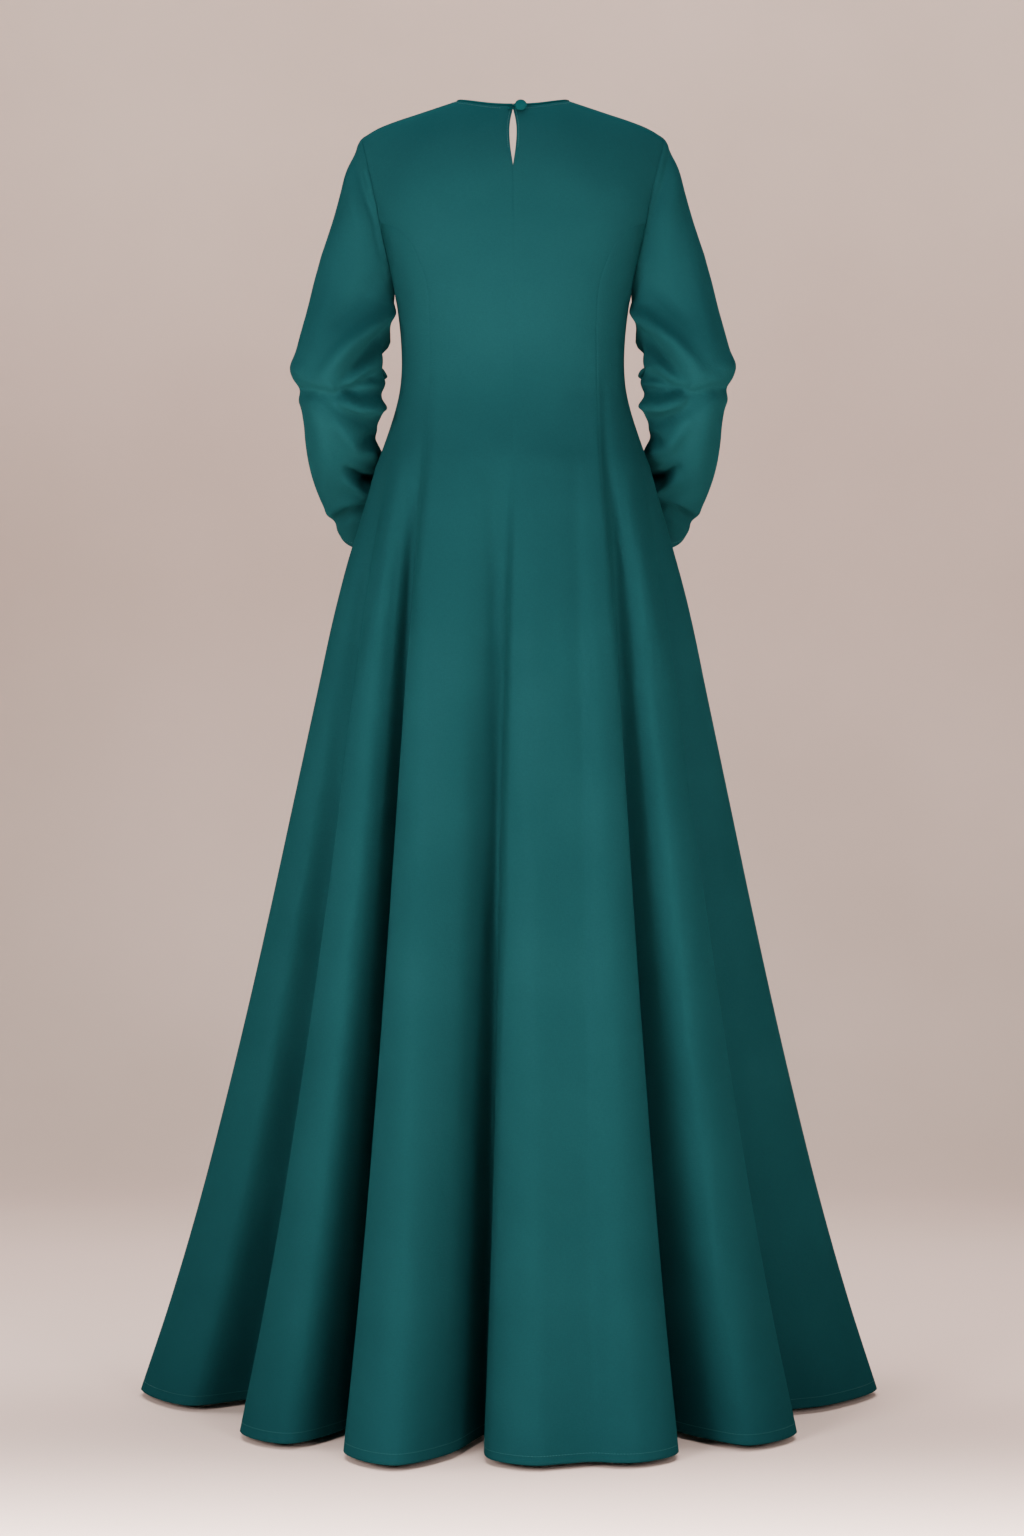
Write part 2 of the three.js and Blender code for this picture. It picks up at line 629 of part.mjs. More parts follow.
// The button is turned as one piece, and then everything from the top of the shank tips down
function buttonGeometry() {
  const profile = [
    [0, button.clearance],
    [button.shankRadius, button.clearance],
    [button.shankRadius, button.lift],
    [button.radius - 0.8, button.lift],
    [button.radius, button.lift + 0.9],
    [button.radius - 0.5, button.lift + 1.9],
    [button.radius * 0.66, button.lift + 2.9],
    [button.radius * 0.33, button.lift + 3.3],
    [0, button.lift + button.thick],
  ].map(([out, up]) => new THREE.Vector2(out, up));
  const geometry = new THREE.LatheGeometry(profile, 20);
  geometry.rotateX(Math.PI / 2);
  const shankTop = new THREE.Vector3(0, 0, button.lift);
  const point = new THREE.Vector3();
  const positions = geometry.attributes.position;
  for (let i = 0; i < positions.count; i += 1) {
    point.fromBufferAttribute(positions, i);
    if (point.z < button.lift - 0.01) continue;
    point.sub(shankTop).applyAxisAngle(new THREE.Vector3(1, 0, 0), radians(button.lean)).add(shankTop);
    positions.setXYZ(i, point.x, point.y, point.z);
  }
  geometry.applyMatrix4(seatFrame);
  return geometry;
}

function loopGeometry() {
  const start = loop.left - button.right;
  const arc = steps(8).map((t) => radians(mix(110, -110, t)));
  const path = [
    [start, 1.7],
    [start * 0.72, 2.2],
    [start * 0.4, 2.6],
    ...arc.map((angle) => [loop.aroundShank * Math.cos(angle), loop.aroundShank * Math.sin(angle)]),
    [start * 0.4, -2.6],
    [start * 0.72, -2.2],
    [start, -1.7],
  ].map(([x, y]) => new THREE.Vector3(x, y, loop.lift));
  const curve = new THREE.CatmullRomCurve3(path, true, "centripetal");
  const geometry = new THREE.TubeGeometry(curve, 36, loop.cordRadius, 8, true);
  geometry.applyMatrix4(seatFrame);
  return geometry;
}

const group = new THREE.Group();
group.name = "abaya";

function addPiece(name, geometry, colour) {
  const material = new THREE.MeshStandardMaterial({ color: colour, roughness: 0.75, name });
  const mesh = new THREE.Mesh(geometry, material);
  mesh.name = name;
  group.add(mesh);
}

const normals = sharedNormals(clothPieces);
for (const piece of clothPieces) addPiece(piece.name, clothPiece(piece, normals), 0x1c5c60);
addPiece("neck_binding", neckBinding(normals), 0x174e52);
addPiece("button", buttonGeometry(), 0x1c5c60);
addPiece("button_loop", loopGeometry(), 0x174e52);

export default group;
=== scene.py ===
import math

import bpy
import numpy as np
from mathutils import Matrix, Vector


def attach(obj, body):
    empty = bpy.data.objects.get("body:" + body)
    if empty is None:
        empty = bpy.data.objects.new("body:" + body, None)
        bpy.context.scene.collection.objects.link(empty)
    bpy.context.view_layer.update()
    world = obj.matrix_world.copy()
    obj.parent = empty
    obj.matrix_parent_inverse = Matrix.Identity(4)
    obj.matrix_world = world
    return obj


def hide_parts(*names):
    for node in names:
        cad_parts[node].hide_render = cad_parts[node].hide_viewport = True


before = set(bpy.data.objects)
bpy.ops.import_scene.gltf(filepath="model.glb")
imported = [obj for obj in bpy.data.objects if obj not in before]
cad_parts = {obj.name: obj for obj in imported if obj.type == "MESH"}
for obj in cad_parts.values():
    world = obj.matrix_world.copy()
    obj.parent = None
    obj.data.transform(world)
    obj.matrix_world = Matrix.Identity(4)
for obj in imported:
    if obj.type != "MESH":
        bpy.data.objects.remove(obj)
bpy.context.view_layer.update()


# Camera
# Level with the middle of the garment's height, 3.8 m behind it, looking the way the wearer faces.
EYE_BEHIND = 3.8
EYE_HEIGHT = -0.763
bpy.ops.object.camera_add(location=(-0.0011, -EYE_BEHIND, EYE_HEIGHT), rotation=(math.radians(90), 0, 0))
camera = bpy.context.object
camera.name = "camera"
camera.data.lens = 78.1
camera.data.sensor_width = 36
bpy.context.scene.camera = camera


# Studio
# A pale seamless sweep of paper: a floor just under the hem that curves up into a wall behind, with painted
# shade that darkens the paper from the front of the floor back into the wall.
# A broad soft light from the left and a weaker one from the right light the cloth, and a faint one hangs
# overhead. Two more light the wall and the floor.
FLOOR = -1.477
WALL_AT = 2.9
WALL_TOP = FLOOR + 6.0
SWEEP_RADIUS = 1.1
SWEEP_REACH = 6.0
CURVE_STEPS = 24


def place_object(name, data):
    """Puts new data into the scene as an object, the only one that is selected."""
    placed = bpy.data.objects.new(name, data)
    bpy.context.collection.objects.link(placed)
    bpy.ops.object.select_all(action="DESELECT")
    bpy.context.view_layer.objects.active = placed
    placed.select_set(True)
    return placed


def add_node(nodes, kind, values=()):
    """A new shader node with values on its sockets."""
    node = nodes.new(kind)
    for socket, value in dict(values).items():
        node.inputs[socket].default_value = value
    return node


def new_material(name):
    material = bpy.data.materials.new(name)
    material.use_nodes = True
    tree = material.node_tree
    return material, tree.nodes, tree.links, tree.nodes["Principled BSDF"]


profile = [(-SWEEP_REACH, FLOOR), (WALL_AT - SWEEP_RADIUS, FLOOR)]
for step in range(1, CURVE_STEPS + 1):
    turn = math.radians(90 * step / CURVE_STEPS)
    across = WALL_AT - SWEEP_RADIUS + SWEEP_RADIUS * math.sin(turn)
    profile.append((across, FLOOR + SWEEP_RADIUS * (1 - math.cos(turn))))
profile.append((WALL_AT, WALL_TOP))
sweep_points = [(x, y, z) for y, z in profile for x in (-SWEEP_REACH, SWEEP_REACH)]
sweep_faces = [(2 * i, 2 * i + 1, 2 * i + 3, 2 * i + 2) for i in range(len(profile) - 1)]
sweep_mesh = bpy.data.meshes.new("sweep")
sweep_mesh.from_pydata(sweep_points, [], sweep_faces)
sweep_mesh.shade_smooth()
sweep = place_object("sweep", sweep_mesh)
paper, nodes, links, shader = new_material("sweep_paper")
shader.inputs["Roughness"].default_value = 0.9
shader.inputs["Specular IOR Level"].default_value = 0.15
place = nodes.new("ShaderNodeTexCoord")
clouds = add_node(nodes, "ShaderNodeTexNoise", {"Scale": 1.1, "Detail": 4})
depth = nodes.new("ShaderNodeSeparateXYZ")
# How far back the paper lies, which sets how much painted shade it gets
backwards = add_node(nodes, "ShaderNodeMapRange", {"From Min": 0.2, "From Max": 2.4})
backwards.interpolation_type = "SMOOTHSTEP"
paper_tone_and_painted_shade = nodes.new("ShaderNodeMix")
paper_tone_and_painted_shade.data_type = "RGBA"
links.new(place.outputs["Object"], clouds.inputs["Vector"])
links.new(place.outputs["Object"], depth.inputs["Vector"])
links.new(depth.outputs["Y"], backwards.inputs["Value"])
links.new(backwards.outputs["Result"], paper_tone_and_painted_shade.inputs["Factor"])
# The floor's shades first, then the wall's darker ones. The change between them is painted shade for the less
# light at the back, and the cloud noise within each pair is the paper's own random tone.
for part, dark, light in (
    ("A", (0.95, 0.705, 0.625), (0.98, 0.745, 0.67)),
    ("B", (0.455, 0.345, 0.302), (0.525, 0.405, 0.356)),
):
    shades = nodes.new("ShaderNodeValToRGB")
    shades.color_ramp.elements[0].position = 0.3
    shades.color_ramp.elements[0].color = (*dark, 1)
    shades.color_ramp.elements[1].position = 0.75
    shades.color_ramp.elements[1].color = (*light, 1)
    links.new(clouds.outputs["Fac"], shades.inputs["Fac"])
    links.new(shades.outputs["Color"], paper_tone_and_painted_shade.inputs[part])
links.new(paper_tone_and_painted_shade.outputs["Result"], shader.inputs["Base Color"])
sweep.data.materials.append(paper)

world = bpy.data.worlds.new("studio")
world.use_nodes = True
world.node_tree.nodes["Background"].inputs["Color"].default_value = (1.0, 0.97, 0.95, 1)
world.node_tree.nodes["Background"].inputs["Strength"].default_value = 0.085
bpy.context.scene.world = world


def soft_light(name, at, aim, size, power, spread=180):
    direction = Vector(aim) - Vector(at)
    turned = direction.to_track_quat("-Z", "Y").to_euler()
    bpy.ops.object.light_add(type="AREA", location=at, rotation=turned)
    light = bpy.context.object
    light.name = name
    light.data.shape = "RECTANGLE"
    light.data.size, light.data.size_y = size
    light.data.energy = power
    light.data.color = (1.0, 0.97, 0.94)
    light.data.spread = math.radians(spread)


soft_light("key_light", (-2.2, -3.2, 0.3), (0, 0, -0.42), (1.2, 1.6), 35, spread=85)
soft_light("fill_light", (1.9, -3.6, 0.3), (0, 0, -0.42), (1.2, 1.6), 19, spread=85)
soft_light("overhead_light", (0, -0.2, 1.9), (0, 0.1, -1.5), (2.6, 2.2), 9)
soft_light("backdrop_light", (0, 0.9, 2.2), (0, 2.3, -1.35), (4.4, 1.6), 185)
soft_light("floor_light", (0, -1.6, 0.3), (0, -1.59, -1.5), (4.2, 1.0), 245, spread=60)


# Centre back panels
# Two shaped panels of crepe from the neck to the hem, sewn together down the middle below the keyhole.
# The form of the whole body is worked out here, in millimetres, and each later piece takes its share of it.
HEM = -1470
HIP = -420
SEAM_FREE = -385
SIDE_SETTLED = -260
UNDERARM = -225
JUNCTION = -148
BLADES = -130
SHOULDER_TIP = 172

# level, half-width, back, front, squareness
BODY = [
    (-420, 155, 120, 126, 2.0),
    (-385, 143.5, 105, 114, 2.05),
    (-355, 133, 93, 104, 2.15),
    (-320, 126, 86, 98, 2.2),
    (-280, 127.5, 90, 106, 2.3),
    (-237, 132.5, 99, 120, 2.35),
    (-200, 142, 104, 122, 2.4),
    (-165, 152, 106, 117, 2.5),
    (-130, 160, 104, 110, 2.5),
]
# distance from the middle, height
SHOULDER_SEAM = [
    (0, 0), (40, -0.6), (60, -3), (70, -6), (90, -12.5), (110, -19), (132, -26), (153, -34), (172, -45),
]
# level, distance from the middle
PRINCESS_SEAM = [
    (-385, 96), (-320, 93.5), (-243, 94.6), (-220, 97.4), (-197, 105), (-174, 116.3), (-157, 133.4),
    (-148, 150.5),
]
# level, half-width of the skirt
FLARE = [
    (-1470, 420), (-1369, 387), (-1255, 354), (-1141, 325), (-1027, 298), (-913, 272.7), (-800, 248.6),
    (-685, 224), (-571, 199.5), (-508, 182), (-420, 155),
]
# left shoulder, crown, right shoulder and valley at the hem, then the hip angles of crown and valley
FOLDS = [
    ((-400, 46), (-424, -3), (-358, -104), (-284, -66), -90, -66),
    ((-288, -262), (-236, -312), (-192, -262), (-154, -172), -54, -43),
    ((-173, -365), (-121, -420), (-67, -366), (-28, -262), -34.4, -3.5),
    ((-25, -388), (20, -421), (54, -411), (82, -402), 8, 27),
    ((108, -408), (134, -403), (170, -362), (152, -222), 33, 43),
    ((202, -284), (247, -320), (302, -256), (276, -150), 52.6, 72),
    ((352, -98), (415, -2), (394, 48), (322, 78), 90, 102),
    ((362, 126), (380, 184), (330, 226), (258, 192), 111, 121),
    ((284, 266), (252, 324), (198, 298), (154, 214), 130, 138),
    ((168, 340), (110, 404), (46, 376), (24, 258), 150, 176),
    ((-18, 370), (-76, 410), (-150, 352), (-142, 228), 205, 223),
    ((-186, 302), (-236, 332), (-284, 270), (-252, 186), 231, 240),
    ((-326, 228), (-382, 170), (-370, 116), (-316, 70), 249, 259),
]
QUARTERS_ROUND = 4 * len(FOLDS)
NECK_EDGE = (60, 28.2, 65)
PANEL_NECK_EDGE = (61, 28.75, 65.5)
WIDER_NECK_EDGE = (64, 30.3, 66.8)
KEYHOLE = {"top": -22, "widest": -52, "bottom": -92, "half_width": 3.9}
CLOTH = 0.9
HEM_TURN = 11
FOLD_GAP = 0.15
SEAM_SINK = 0.28
SIDE_SEAM_REACH = 1.3
TOP_SEAM_REACH = 2.4
EASED_UNDER = -275
EASED_DOWN_TO = -640
ROUNDING = 1e-6


def through(xs, ys):
    """A smooth curve through the points that never overshoots them."""
    xs, ys = np.array(xs, float), np.array(ys, float)
    slopes = np.diff(ys) / np.diff(xs)
    before = np.concatenate([slopes[:1], slopes])
    after = np.concatenate([slopes, slopes[-1:]])
    product = before * after
    tangents = np.where(product > 0, 2 * product / np.where(product > 0, before + after, 1), 0)

    def curve(x):
        x = np.clip(np.asarray(x, float), xs[0], xs[-1])
        i = np.clip(np.searchsorted(xs, x, side="right") - 1, 0, len(xs) - 2)
        span = xs[i + 1] - xs[i]
        t = (x - xs[i]) / span
        rise = t * t * (3 - 2 * t)
        bend = span * t * (1 - t) * ((1 - t) * tangents[i] - t * tangents[i + 1])
        return ys[i] + (ys[i + 1] - ys[i]) * rise + bend

    return curve


def mix(a, b, t):
    return a + (b - a) * t


body_levels, *body_sizes = zip(*BODY)
half_width, back_depth, front_depth, squareness = [through(body_levels, sizes) for sizes in body_sizes]
shoulder_height = through(*zip(*SHOULDER_SEAM))
princess_out = through(*zip(*PRINCESS_SEAM))
flare = through(*zip(*FLARE))


def body_point(angle, level):
    sine, cosine = np.sin(np.radians(angle)), np.cos(np.radians(angle))
    power = 2 / squareness(level)
    depth = np.where(cosine > 0, back_depth(level), front_depth(level))
    x = half_width(level) * np.sign(sine) * np.abs(sine) ** power
    y = -depth * np.sign(cosine) * np.abs(cosine) ** power
    return np.stack(np.broadcast_arrays(x, y, np.asarray(level, float)), -1)


def angle_at(out, level):
    return np.degrees(np.arcsin(np.clip(out / half_width(level), 0, 1) ** (squareness(level) / 2)))


hem_places = np.array([place for fold in FOLDS for place in fold[:4]], float)
hip_angles = []
for number, fold in enumerate(FOLDS):
    valley_before = FOLDS[number - 1][5] - (360 if number == 0 else 0)
    hip_angles += [mix(valley_before, fold[4], 0.5), fold[4], mix(fold[4], fold[5], 0.5), fold[5]]
hip_angles += [angle + 360 for angle in hip_angles[:3]]
hip_angle = through(range(len(hip_angles)), hip_angles)


def hem_point(quarters):
    """The hem's outline on the floor plan: a round-cornered curve through the fold table's places."""
    quarters = np.asarray(quarters, float) % QUARTERS_ROUND
    i = np.floor(quarters).astype(int)
    t = (quarters - i)[..., None]
    p0, p1, p2, p3 = [hem_places[(i + k) % QUARTERS_ROUND] for k in (-1, 0, 1, 2)]
    spans = (p0, p1), (p1, p2), (p2, p3)
    d0, d1, d2 = [np.sqrt(np.linalg.norm(b - a, axis=-1))[..., None] for a, b in spans]
    m1 = ((p1 - p0) / d0 - (p2 - p0) / (d0 + d1) + (p2 - p1) / d1) * d1
    m2 = ((p2 - p1) / d1 - (p3 - p1) / (d1 + d2) + (p3 - p2) / d2) * d1
    return p1 + m1 * t + (3 * (p2 - p1) - 2 * m1 - m2) * t**2 + (2 * (p1 - p2) + m1 + m2) * t**3


def skirt_point(quarters, level):
    flared = ((flare(level) - flare(HIP)) / (flare(HEM) - flare(HIP)))[..., None]
    hip = body_point(hip_angle(quarters), np.full(np.shape(quarters), float(HIP)))[..., :2]
    flat = hip * (1 - flared) + hem_point(quarters) * flared
    return np.concatenate([flat, np.broadcast_to(level, np.shape(quarters))[..., None]], -1)


BLADES_OUT = 153.5
JUNCTION_OUT = 150.5
armhole_swing = float(angle_at(BLADES_OUT, BLADES))
junction_angle = float(angle_at(JUNCTION_OUT, JUNCTION))


def yoke_point(is_front, across, turn):
    swing = across * armhole_swing
    blade = body_point(180 - swing if is_front else swing, np.full(np.shape(swing), float(BLADES)))
    crest = across * SHOULDER_TIP
    over = 1 - np.cos(np.radians(turn))
    x = mix(crest, blade[..., 0], over)
    y = blade[..., 1] * np.sin(np.radians(turn))
    z = mix(shoulder_height(np.abs(crest)), BLADES, over)
    return np.stack(np.broadcast_arrays(x, y, z), -1)


def neck_place(is_front, sweep, edge):
    """Where a neck edge crosses the yoke. sweep is 0 in the middle and 90 at the shoulder seam."""
    sweep = np.asarray(sweep, float)
    turn = edge[2 if is_front else 1] * np.clip(np.cos(np.radians(sweep)), 0, 1) ** 0.65
    out = edge[0] * np.sin(np.radians(sweep))
    across = out / SHOULDER_TIP
    for _ in range(8):
        across = across + (out - yoke_point(is_front, across, turn)[..., 0]) / SHOULDER_TIP
    return across, turn


def princess_angle(level, at_hip):
    settled = np.clip((SEAM_FREE - level) / (SEAM_FREE - HIP), 0, 1)
    return mix(angle_at(princess_out(np.maximum(level, SEAM_FREE)), level), at_hip, settled)


def keyhole_half_width(height):
    above = (KEYHOLE["top"] - height) / (KEYHOLE["top"] - KEYHOLE["widest"])
    below = (height - KEYHOLE["bottom"]) / (KEYHOLE["widest"] - KEYHOLE["bottom"])
    return KEYHOLE["half_width"] * np.sin(np.radians(90 * np.clip(np.minimum(above, below), 0, 1)))


def panel_columns(start, end, per_quarter=10, also=()):
    """Places round the skirt for a panel's columns, closer together beside its two seams."""
    inside = np.linspace(start, end, int(round((end - start) * per_quarter)) + 1)
    beside = np.array([0.008, 0.018, 0.032, 0.055])
    return np.unique(np.round(np.concatenate([inside, start + beside, end - beside, list(also)]), 6))


YOKE_ROWS = np.linspace(0, 1, 23)
ARMHOLE_LEVELS = np.linspace(BLADES, JUNCTION, 4)[1:]
UPPER_LEVELS = np.linspace(JUNCTION, SIDE_SETTLED, 20)
WAIST_LEVELS = np.linspace(SIDE_SETTLED, HIP, 28)[1:]
SKIRT_LEVELS = np.concatenate([np.linspace(HIP, HEM + 12, 105), np.linspace(HEM + 12, HEM, 7)[1:]])[1:]


def centre_panel(is_front, start, end, start_side, end_side, shoulder_start, shoulder_end):
    """Rows of outer points, neck and shoulder to hem. The sides are -1 left, 0 middle, 1 right."""
    corners = [mix(start, end, shoulder_start)] * bool(start_side)
    corners += [mix(end, start, shoulder_end)] * bool(end_side)
    quarters = panel_columns(start, end, also=corners)
    fraction = (quarters - start) / (end - start)
    share = (hip_angle(quarters) - hip_angle(start)) / (hip_angle(end) - hip_angle(start))
    neck_across = PANEL_NECK_EDGE[0] / SHOULDER_TIP
    middle = 1 if not end_side else 0 if not start_side else 0.5
    across = np.zeros_like(fraction)
    turn = np.zeros_like(fraction)
    for side, along, shoulder in (
        (start_side, fraction, shoulder_start),
        (end_side, 1 - fraction, shoulder_end),
    ):
        if not side:
            continue
        reach = middle if side == start_side else 1 - middle
        mine = along <= reach + ROUNDING
        on_shoulder = mine & (along <= shoulder + ROUNDING)
        on_neck = mine & ~on_shoulder
        across[on_shoulder] = side * mix(1, neck_across, along[on_shoulder] / shoulder)
        sweep = 90 * (1 - (along[on_neck] - shoulder) / (reach - shoulder))
        neck_across_here, turn[on_neck] = neck_place(is_front, sweep, PANEL_NECK_EDGE)
        across[on_neck] = side * neck_across_here
    lateral = mix(start_side, end_side, share)
    down = YOKE_ROWS[:, None]
    rows = [yoke_point(is_front, mix(across, lateral, down), mix(turn, 90, down))]
    facing, centre = (-1, 180) if is_front else (1, 0)
    start_hip = abs(float(hip_angle(start)) - centre) if start_side else 0
    end_hip = abs(float(hip_angle(end)) - centre) if end_side else 0
    for level in np.concatenate([ARMHOLE_LEVELS, UPPER_LEVELS[1:], WAIST_LEVELS]):
        if level > JUNCTION:
            edge = mix(armhole_swing, junction_angle, (BLADES - level) / (BLADES - JUNCTION))
            edges = facing * start_side * edge, facing * end_side * edge
        else:
            edges = (
                facing * start_side * princess_angle(level, start_hip),
                facing * end_side * princess_angle(level, end_hip),
            )
        rows.append(body_point(centre + mix(*edges, share), np.full_like(share, level))[None])
    rows += [skirt_point(quarters, np.full_like(quarters, level))[None] for level in SKIRT_LEVELS]
    return np.concatenate(rows)


def normals_of(grid, closed=False):
    """Outward normals of a grid whose rows go down and whose columns go round to the right."""
    around = np.roll(grid, -1, 1) - np.roll(grid, 1, 1) if closed else np.gradient(grid, axis=1)
    down = np.gradient(grid, axis=0)
    normal = np.cross(down, around)
    return normal / np.maximum(np.linalg.norm(normal, axis=-1, keepdims=True), 1e-9)


def softened(grid, reach, spread):
    """The grid with each row averaged with the rows near it."""
    weights = np.exp(-((np.arange(-reach, reach + 1) / spread) ** 2))
    weights /= weights.sum()
    padded = np.concatenate([grid[:1].repeat(reach, 0), grid, grid[-1:].repeat(reach, 0)])
    return sum(w * padded[i : i + len(grid)] for i, w in enumerate(weights))


def run(points, axis=0):
    """How far each point is from the first, along a line or down (or across) a grid."""
    steps = np.linalg.norm(np.diff(points, axis=axis), axis=-1)
    return np.concatenate([np.zeros_like(steps.take([0], axis)), np.cumsum(steps, axis)], axis)


def ease_hip(grid):
    """Rounds off the change of slope at the hip, where the folds start, from the waist to mid-thigh."""
    level = grid[..., 2].mean(1)
    near = np.clip(np.minimum((EASED_UNDER - level) / 40, (level - EASED_DOWN_TO) / 120), 0, 1)
    near[: -len(SKIRT_LEVELS) - len(WAIST_LEVELS)] = 0
    eased = grid.copy()
    eased[..., :2] = mix(grid[..., :2], softened(grid, 12, 5.0)[..., :2], near[:, None, None])
    return eased


def crease_height(points, facing, creases):
    """How far the cloth stands out at each point. A crease is its places as seen from behind (or from the
    front), its height (a trough's is negative) and its half-width."""
    distance, middle = 1000 * EYE_BEHIND, 1000 * EYE_HEIGHT
    scale = distance / (distance + facing * points[..., 1])
    x, z = points[..., 0] * scale, middle + (points[..., 2] - middle) * scale
    height = np.zeros(points.shape[:-1])
    for places, rise, wide in creases:
        places = np.array(places, float)
        starts = run(places)
        lengths = np.linalg.norm(np.diff(places, axis=0), axis=1)
        nearest = np.full(x.shape, 1e9)
        along = np.zeros(x.shape)
        for (ax, az), (bx, bz), length, start in zip(places[:-1], places[1:], lengths, starts):
            t = np.clip(((x - ax) * (bx - ax) + (z - az) * (bz - az)) / length**2, 0, 1)
            gap = np.hypot(x - mix(ax, bx, t), z - mix(az, bz, t))
            closer = gap < nearest
            nearest = np.where(closer, gap, nearest)
            along = np.where(closer, (start + t * length) / starts[-1], along)
        fade = np.sin(np.pi * np.clip(0.08 + 0.84 * along, 0, 1)) ** 0.8
        height += rise * fade * np.exp(-((nearest / wide) ** 2))
    return height


# places from the top down as seen from behind, height, half-width
BACK_CREASES = [
    ([(-129, -423), (-140, -514), (-150, -571), (-171, -685), (-190, -799)], 3.2, 11),
    ([(-186, -512), (-184, -571), (-188, -685), (-191, -799)], 1.8, 9),
    ([(-100, -392), (-113, -520), (-121, -640)], -2.2, 7),
    ([(-88, -300), (-90, -400), (-94, -520)], 1.4, 8),
    ([(-55, -330), (-40, -470), (-34, -640)], 1.2, 16),
    ([(-28, -402), (-19, -560), (-18, -760)], -2.5, 9),
    ([(70, -360), (76, -560), (84, -800)], -1.6, 12),
    ([(94, -290), (96, -400), (104, -520), (118, -690)], 1.8, 8),
    ([(104, -330), (108, -420), (122, -560)], -2.0, 6),
    ([(128, -420), (150, -560), (186, -700)], 2.2, 10),
    ([(-60, -70), (-30, -110), (-6, -128)], 0.7, 12),
    ([(66, -74), (34, -112), (8, -132)], 0.7, 12),
    ([(-132, -232), (-112, -252), (-86, -262)], -0.9, 7),
    ([(130, -234), (108, -256), (84, -264)], -1.0, 7),
    ([(-118, -322), (-84, -330), (-40, -326)], -0.8, 6),
    ([(120, -326), (92, -336), (52, -330)], -0.9, 6),
]
# the same from the front
FRONT_CREASES = [
    ([(-52, -66), (-84, -96), (-108, -132)], 1.0, 9),
    ([(54, -64), (82, -92), (110, -128)], 1.0, 9),
    ([(-132, -230), (-104, -262), (-70, -282)], -1.2, 8),
    ([(130, -232), (106, -258), (76, -284)], -1.1, 8),
    ([(-112, -318), (-70, -332), (-24, -328)], -0.9, 7),
    ([(116, -322), (78, -334), (30, -330)], -0.9, 7),
    ([(-92, -360), (-100, -480), (-116, -640)], -2.2, 8),
    ([(94, -362), (104, -480), (118, -650)], -2.2, 8),
    ([(-46, -380), (-56, -520), (-70, -720)], 2.0, 13),
    ([(40, -390), (52, -540), (72, -760)], 2.0, 12),
    ([(4, -370), (2, -520), (-4, -680)], -2.6, 10),
    ([(-150, -470), (-168, -600), (-196, -760)], 2.4, 11),
    ([(148, -480), (170, -610), (200, -780)], 2.4, 11),
]


def crease_lift(grid, normal, back, front, blend):
    """How far the creases lift each point. The back's fade into the front's at the sides."""
    behind = np.clip(0.5 - normal[..., 1] * blend, 0, 1)
    return crease_height(grid, 1, back) * behind + crease_height(grid, -1, front) * (1 - behind)


def creased(grid):
    normal = normals_of(grid)
    return grid + normal * crease_lift(grid, normal, BACK_CREASES, FRONT_CREASES, 1.6)[..., None]


def sunk_seams(grid, left, right):
    """Draws the cloth in a little along its sewn edges, which are the sides and the top."""
    from_left = run(grid, 1)
    from_right = from_left[:, -1:] - from_left
    seams = [
        (left, from_left, SIDE_SEAM_REACH),
        (right, from_right, SIDE_SEAM_REACH),
        (1, run(grid), TOP_SEAM_REACH),
    ]
    sink = np.max([share * np.exp(-((away / reach) ** 2)) for share, away, reach in seams], axis=0)
    return grid - normals_of(grid) * (SEAM_SINK * sink)[..., None]


def turned_hem(grid, depth, closed=False):
    """Adds the cloth that is turned up inside the edge, as far as depth."""
    normal = normals_of(grid, closed)
    from_edge = run(grid[::-1])[::-1]
    inside = CLOTH * 2 + FOLD_GAP
    rows = [grid[-1] - normal[-1] * inside * 0.5 + (grid[-1] - grid[-2]) / from_edge[-2][:, None] * 0.5]
    for height in (0.6, 0.35 * depth, 0.7 * depth, depth):
        row = np.argmin(np.abs(from_edge.mean(1) - height))
        rows.append(grid[row] - normal[row] * inside)
    return np.concatenate([grid, np.stack(rows)])


def weave_map(grid):
    """Each point's place on the cut cloth, in metres."""
    across = run(grid, 1)
    across -= across[:, grid.shape[1] // 2][:, None]
    return np.stack(np.broadcast_arrays(across, run(grid).mean(1)[:, None]), -1) / 1000


def mesh_in_metres(name, points, faces):
    """A mesh from points in millimetres."""
    mesh = bpy.data.meshes.new(name)
    mesh.from_pydata((points.reshape(-1, 3) / 1000).tolist(), [], faces)
    return mesh


def cloth_object(name, grid, closed=False):
    """A sheet of cloth from a grid of outer points, given its thickness inwards."""
    high, wide = grid.shape[:2]
    uv = weave_map(np.concatenate([grid, grid[:, :1]], 1) if closed else grid)
    number = np.arange(high * wide).reshape(high, wide)
    right = np.roll(number, -1, 1) if closed else number[:, 1:]
    left = number if closed else number[:, :-1]
    faces = np.stack([left[:-1], left[1:], right[1:], right[:-1]], -1).reshape(-1, 4)
    mesh = mesh_in_metres(name, grid, faces.tolist())
    corners = np.stack([uv[:-1, :-1], uv[1:, :-1], uv[1:, 1:], uv[:-1, 1:]], 2).reshape(-1, 2)
    mesh.uv_layers.new(name="weave").data.foreach_set("uv", corners.astype(np.float32).ravel())
    mesh.shade_smooth()
    piece = place_object(name, mesh)
    solid = piece.modifiers.new("thickness", "SOLIDIFY")
    solid.thickness = CLOTH / 1000
    solid.offset = -1
    bpy.ops.object.modifier_apply(modifier=solid.name)
    return piece


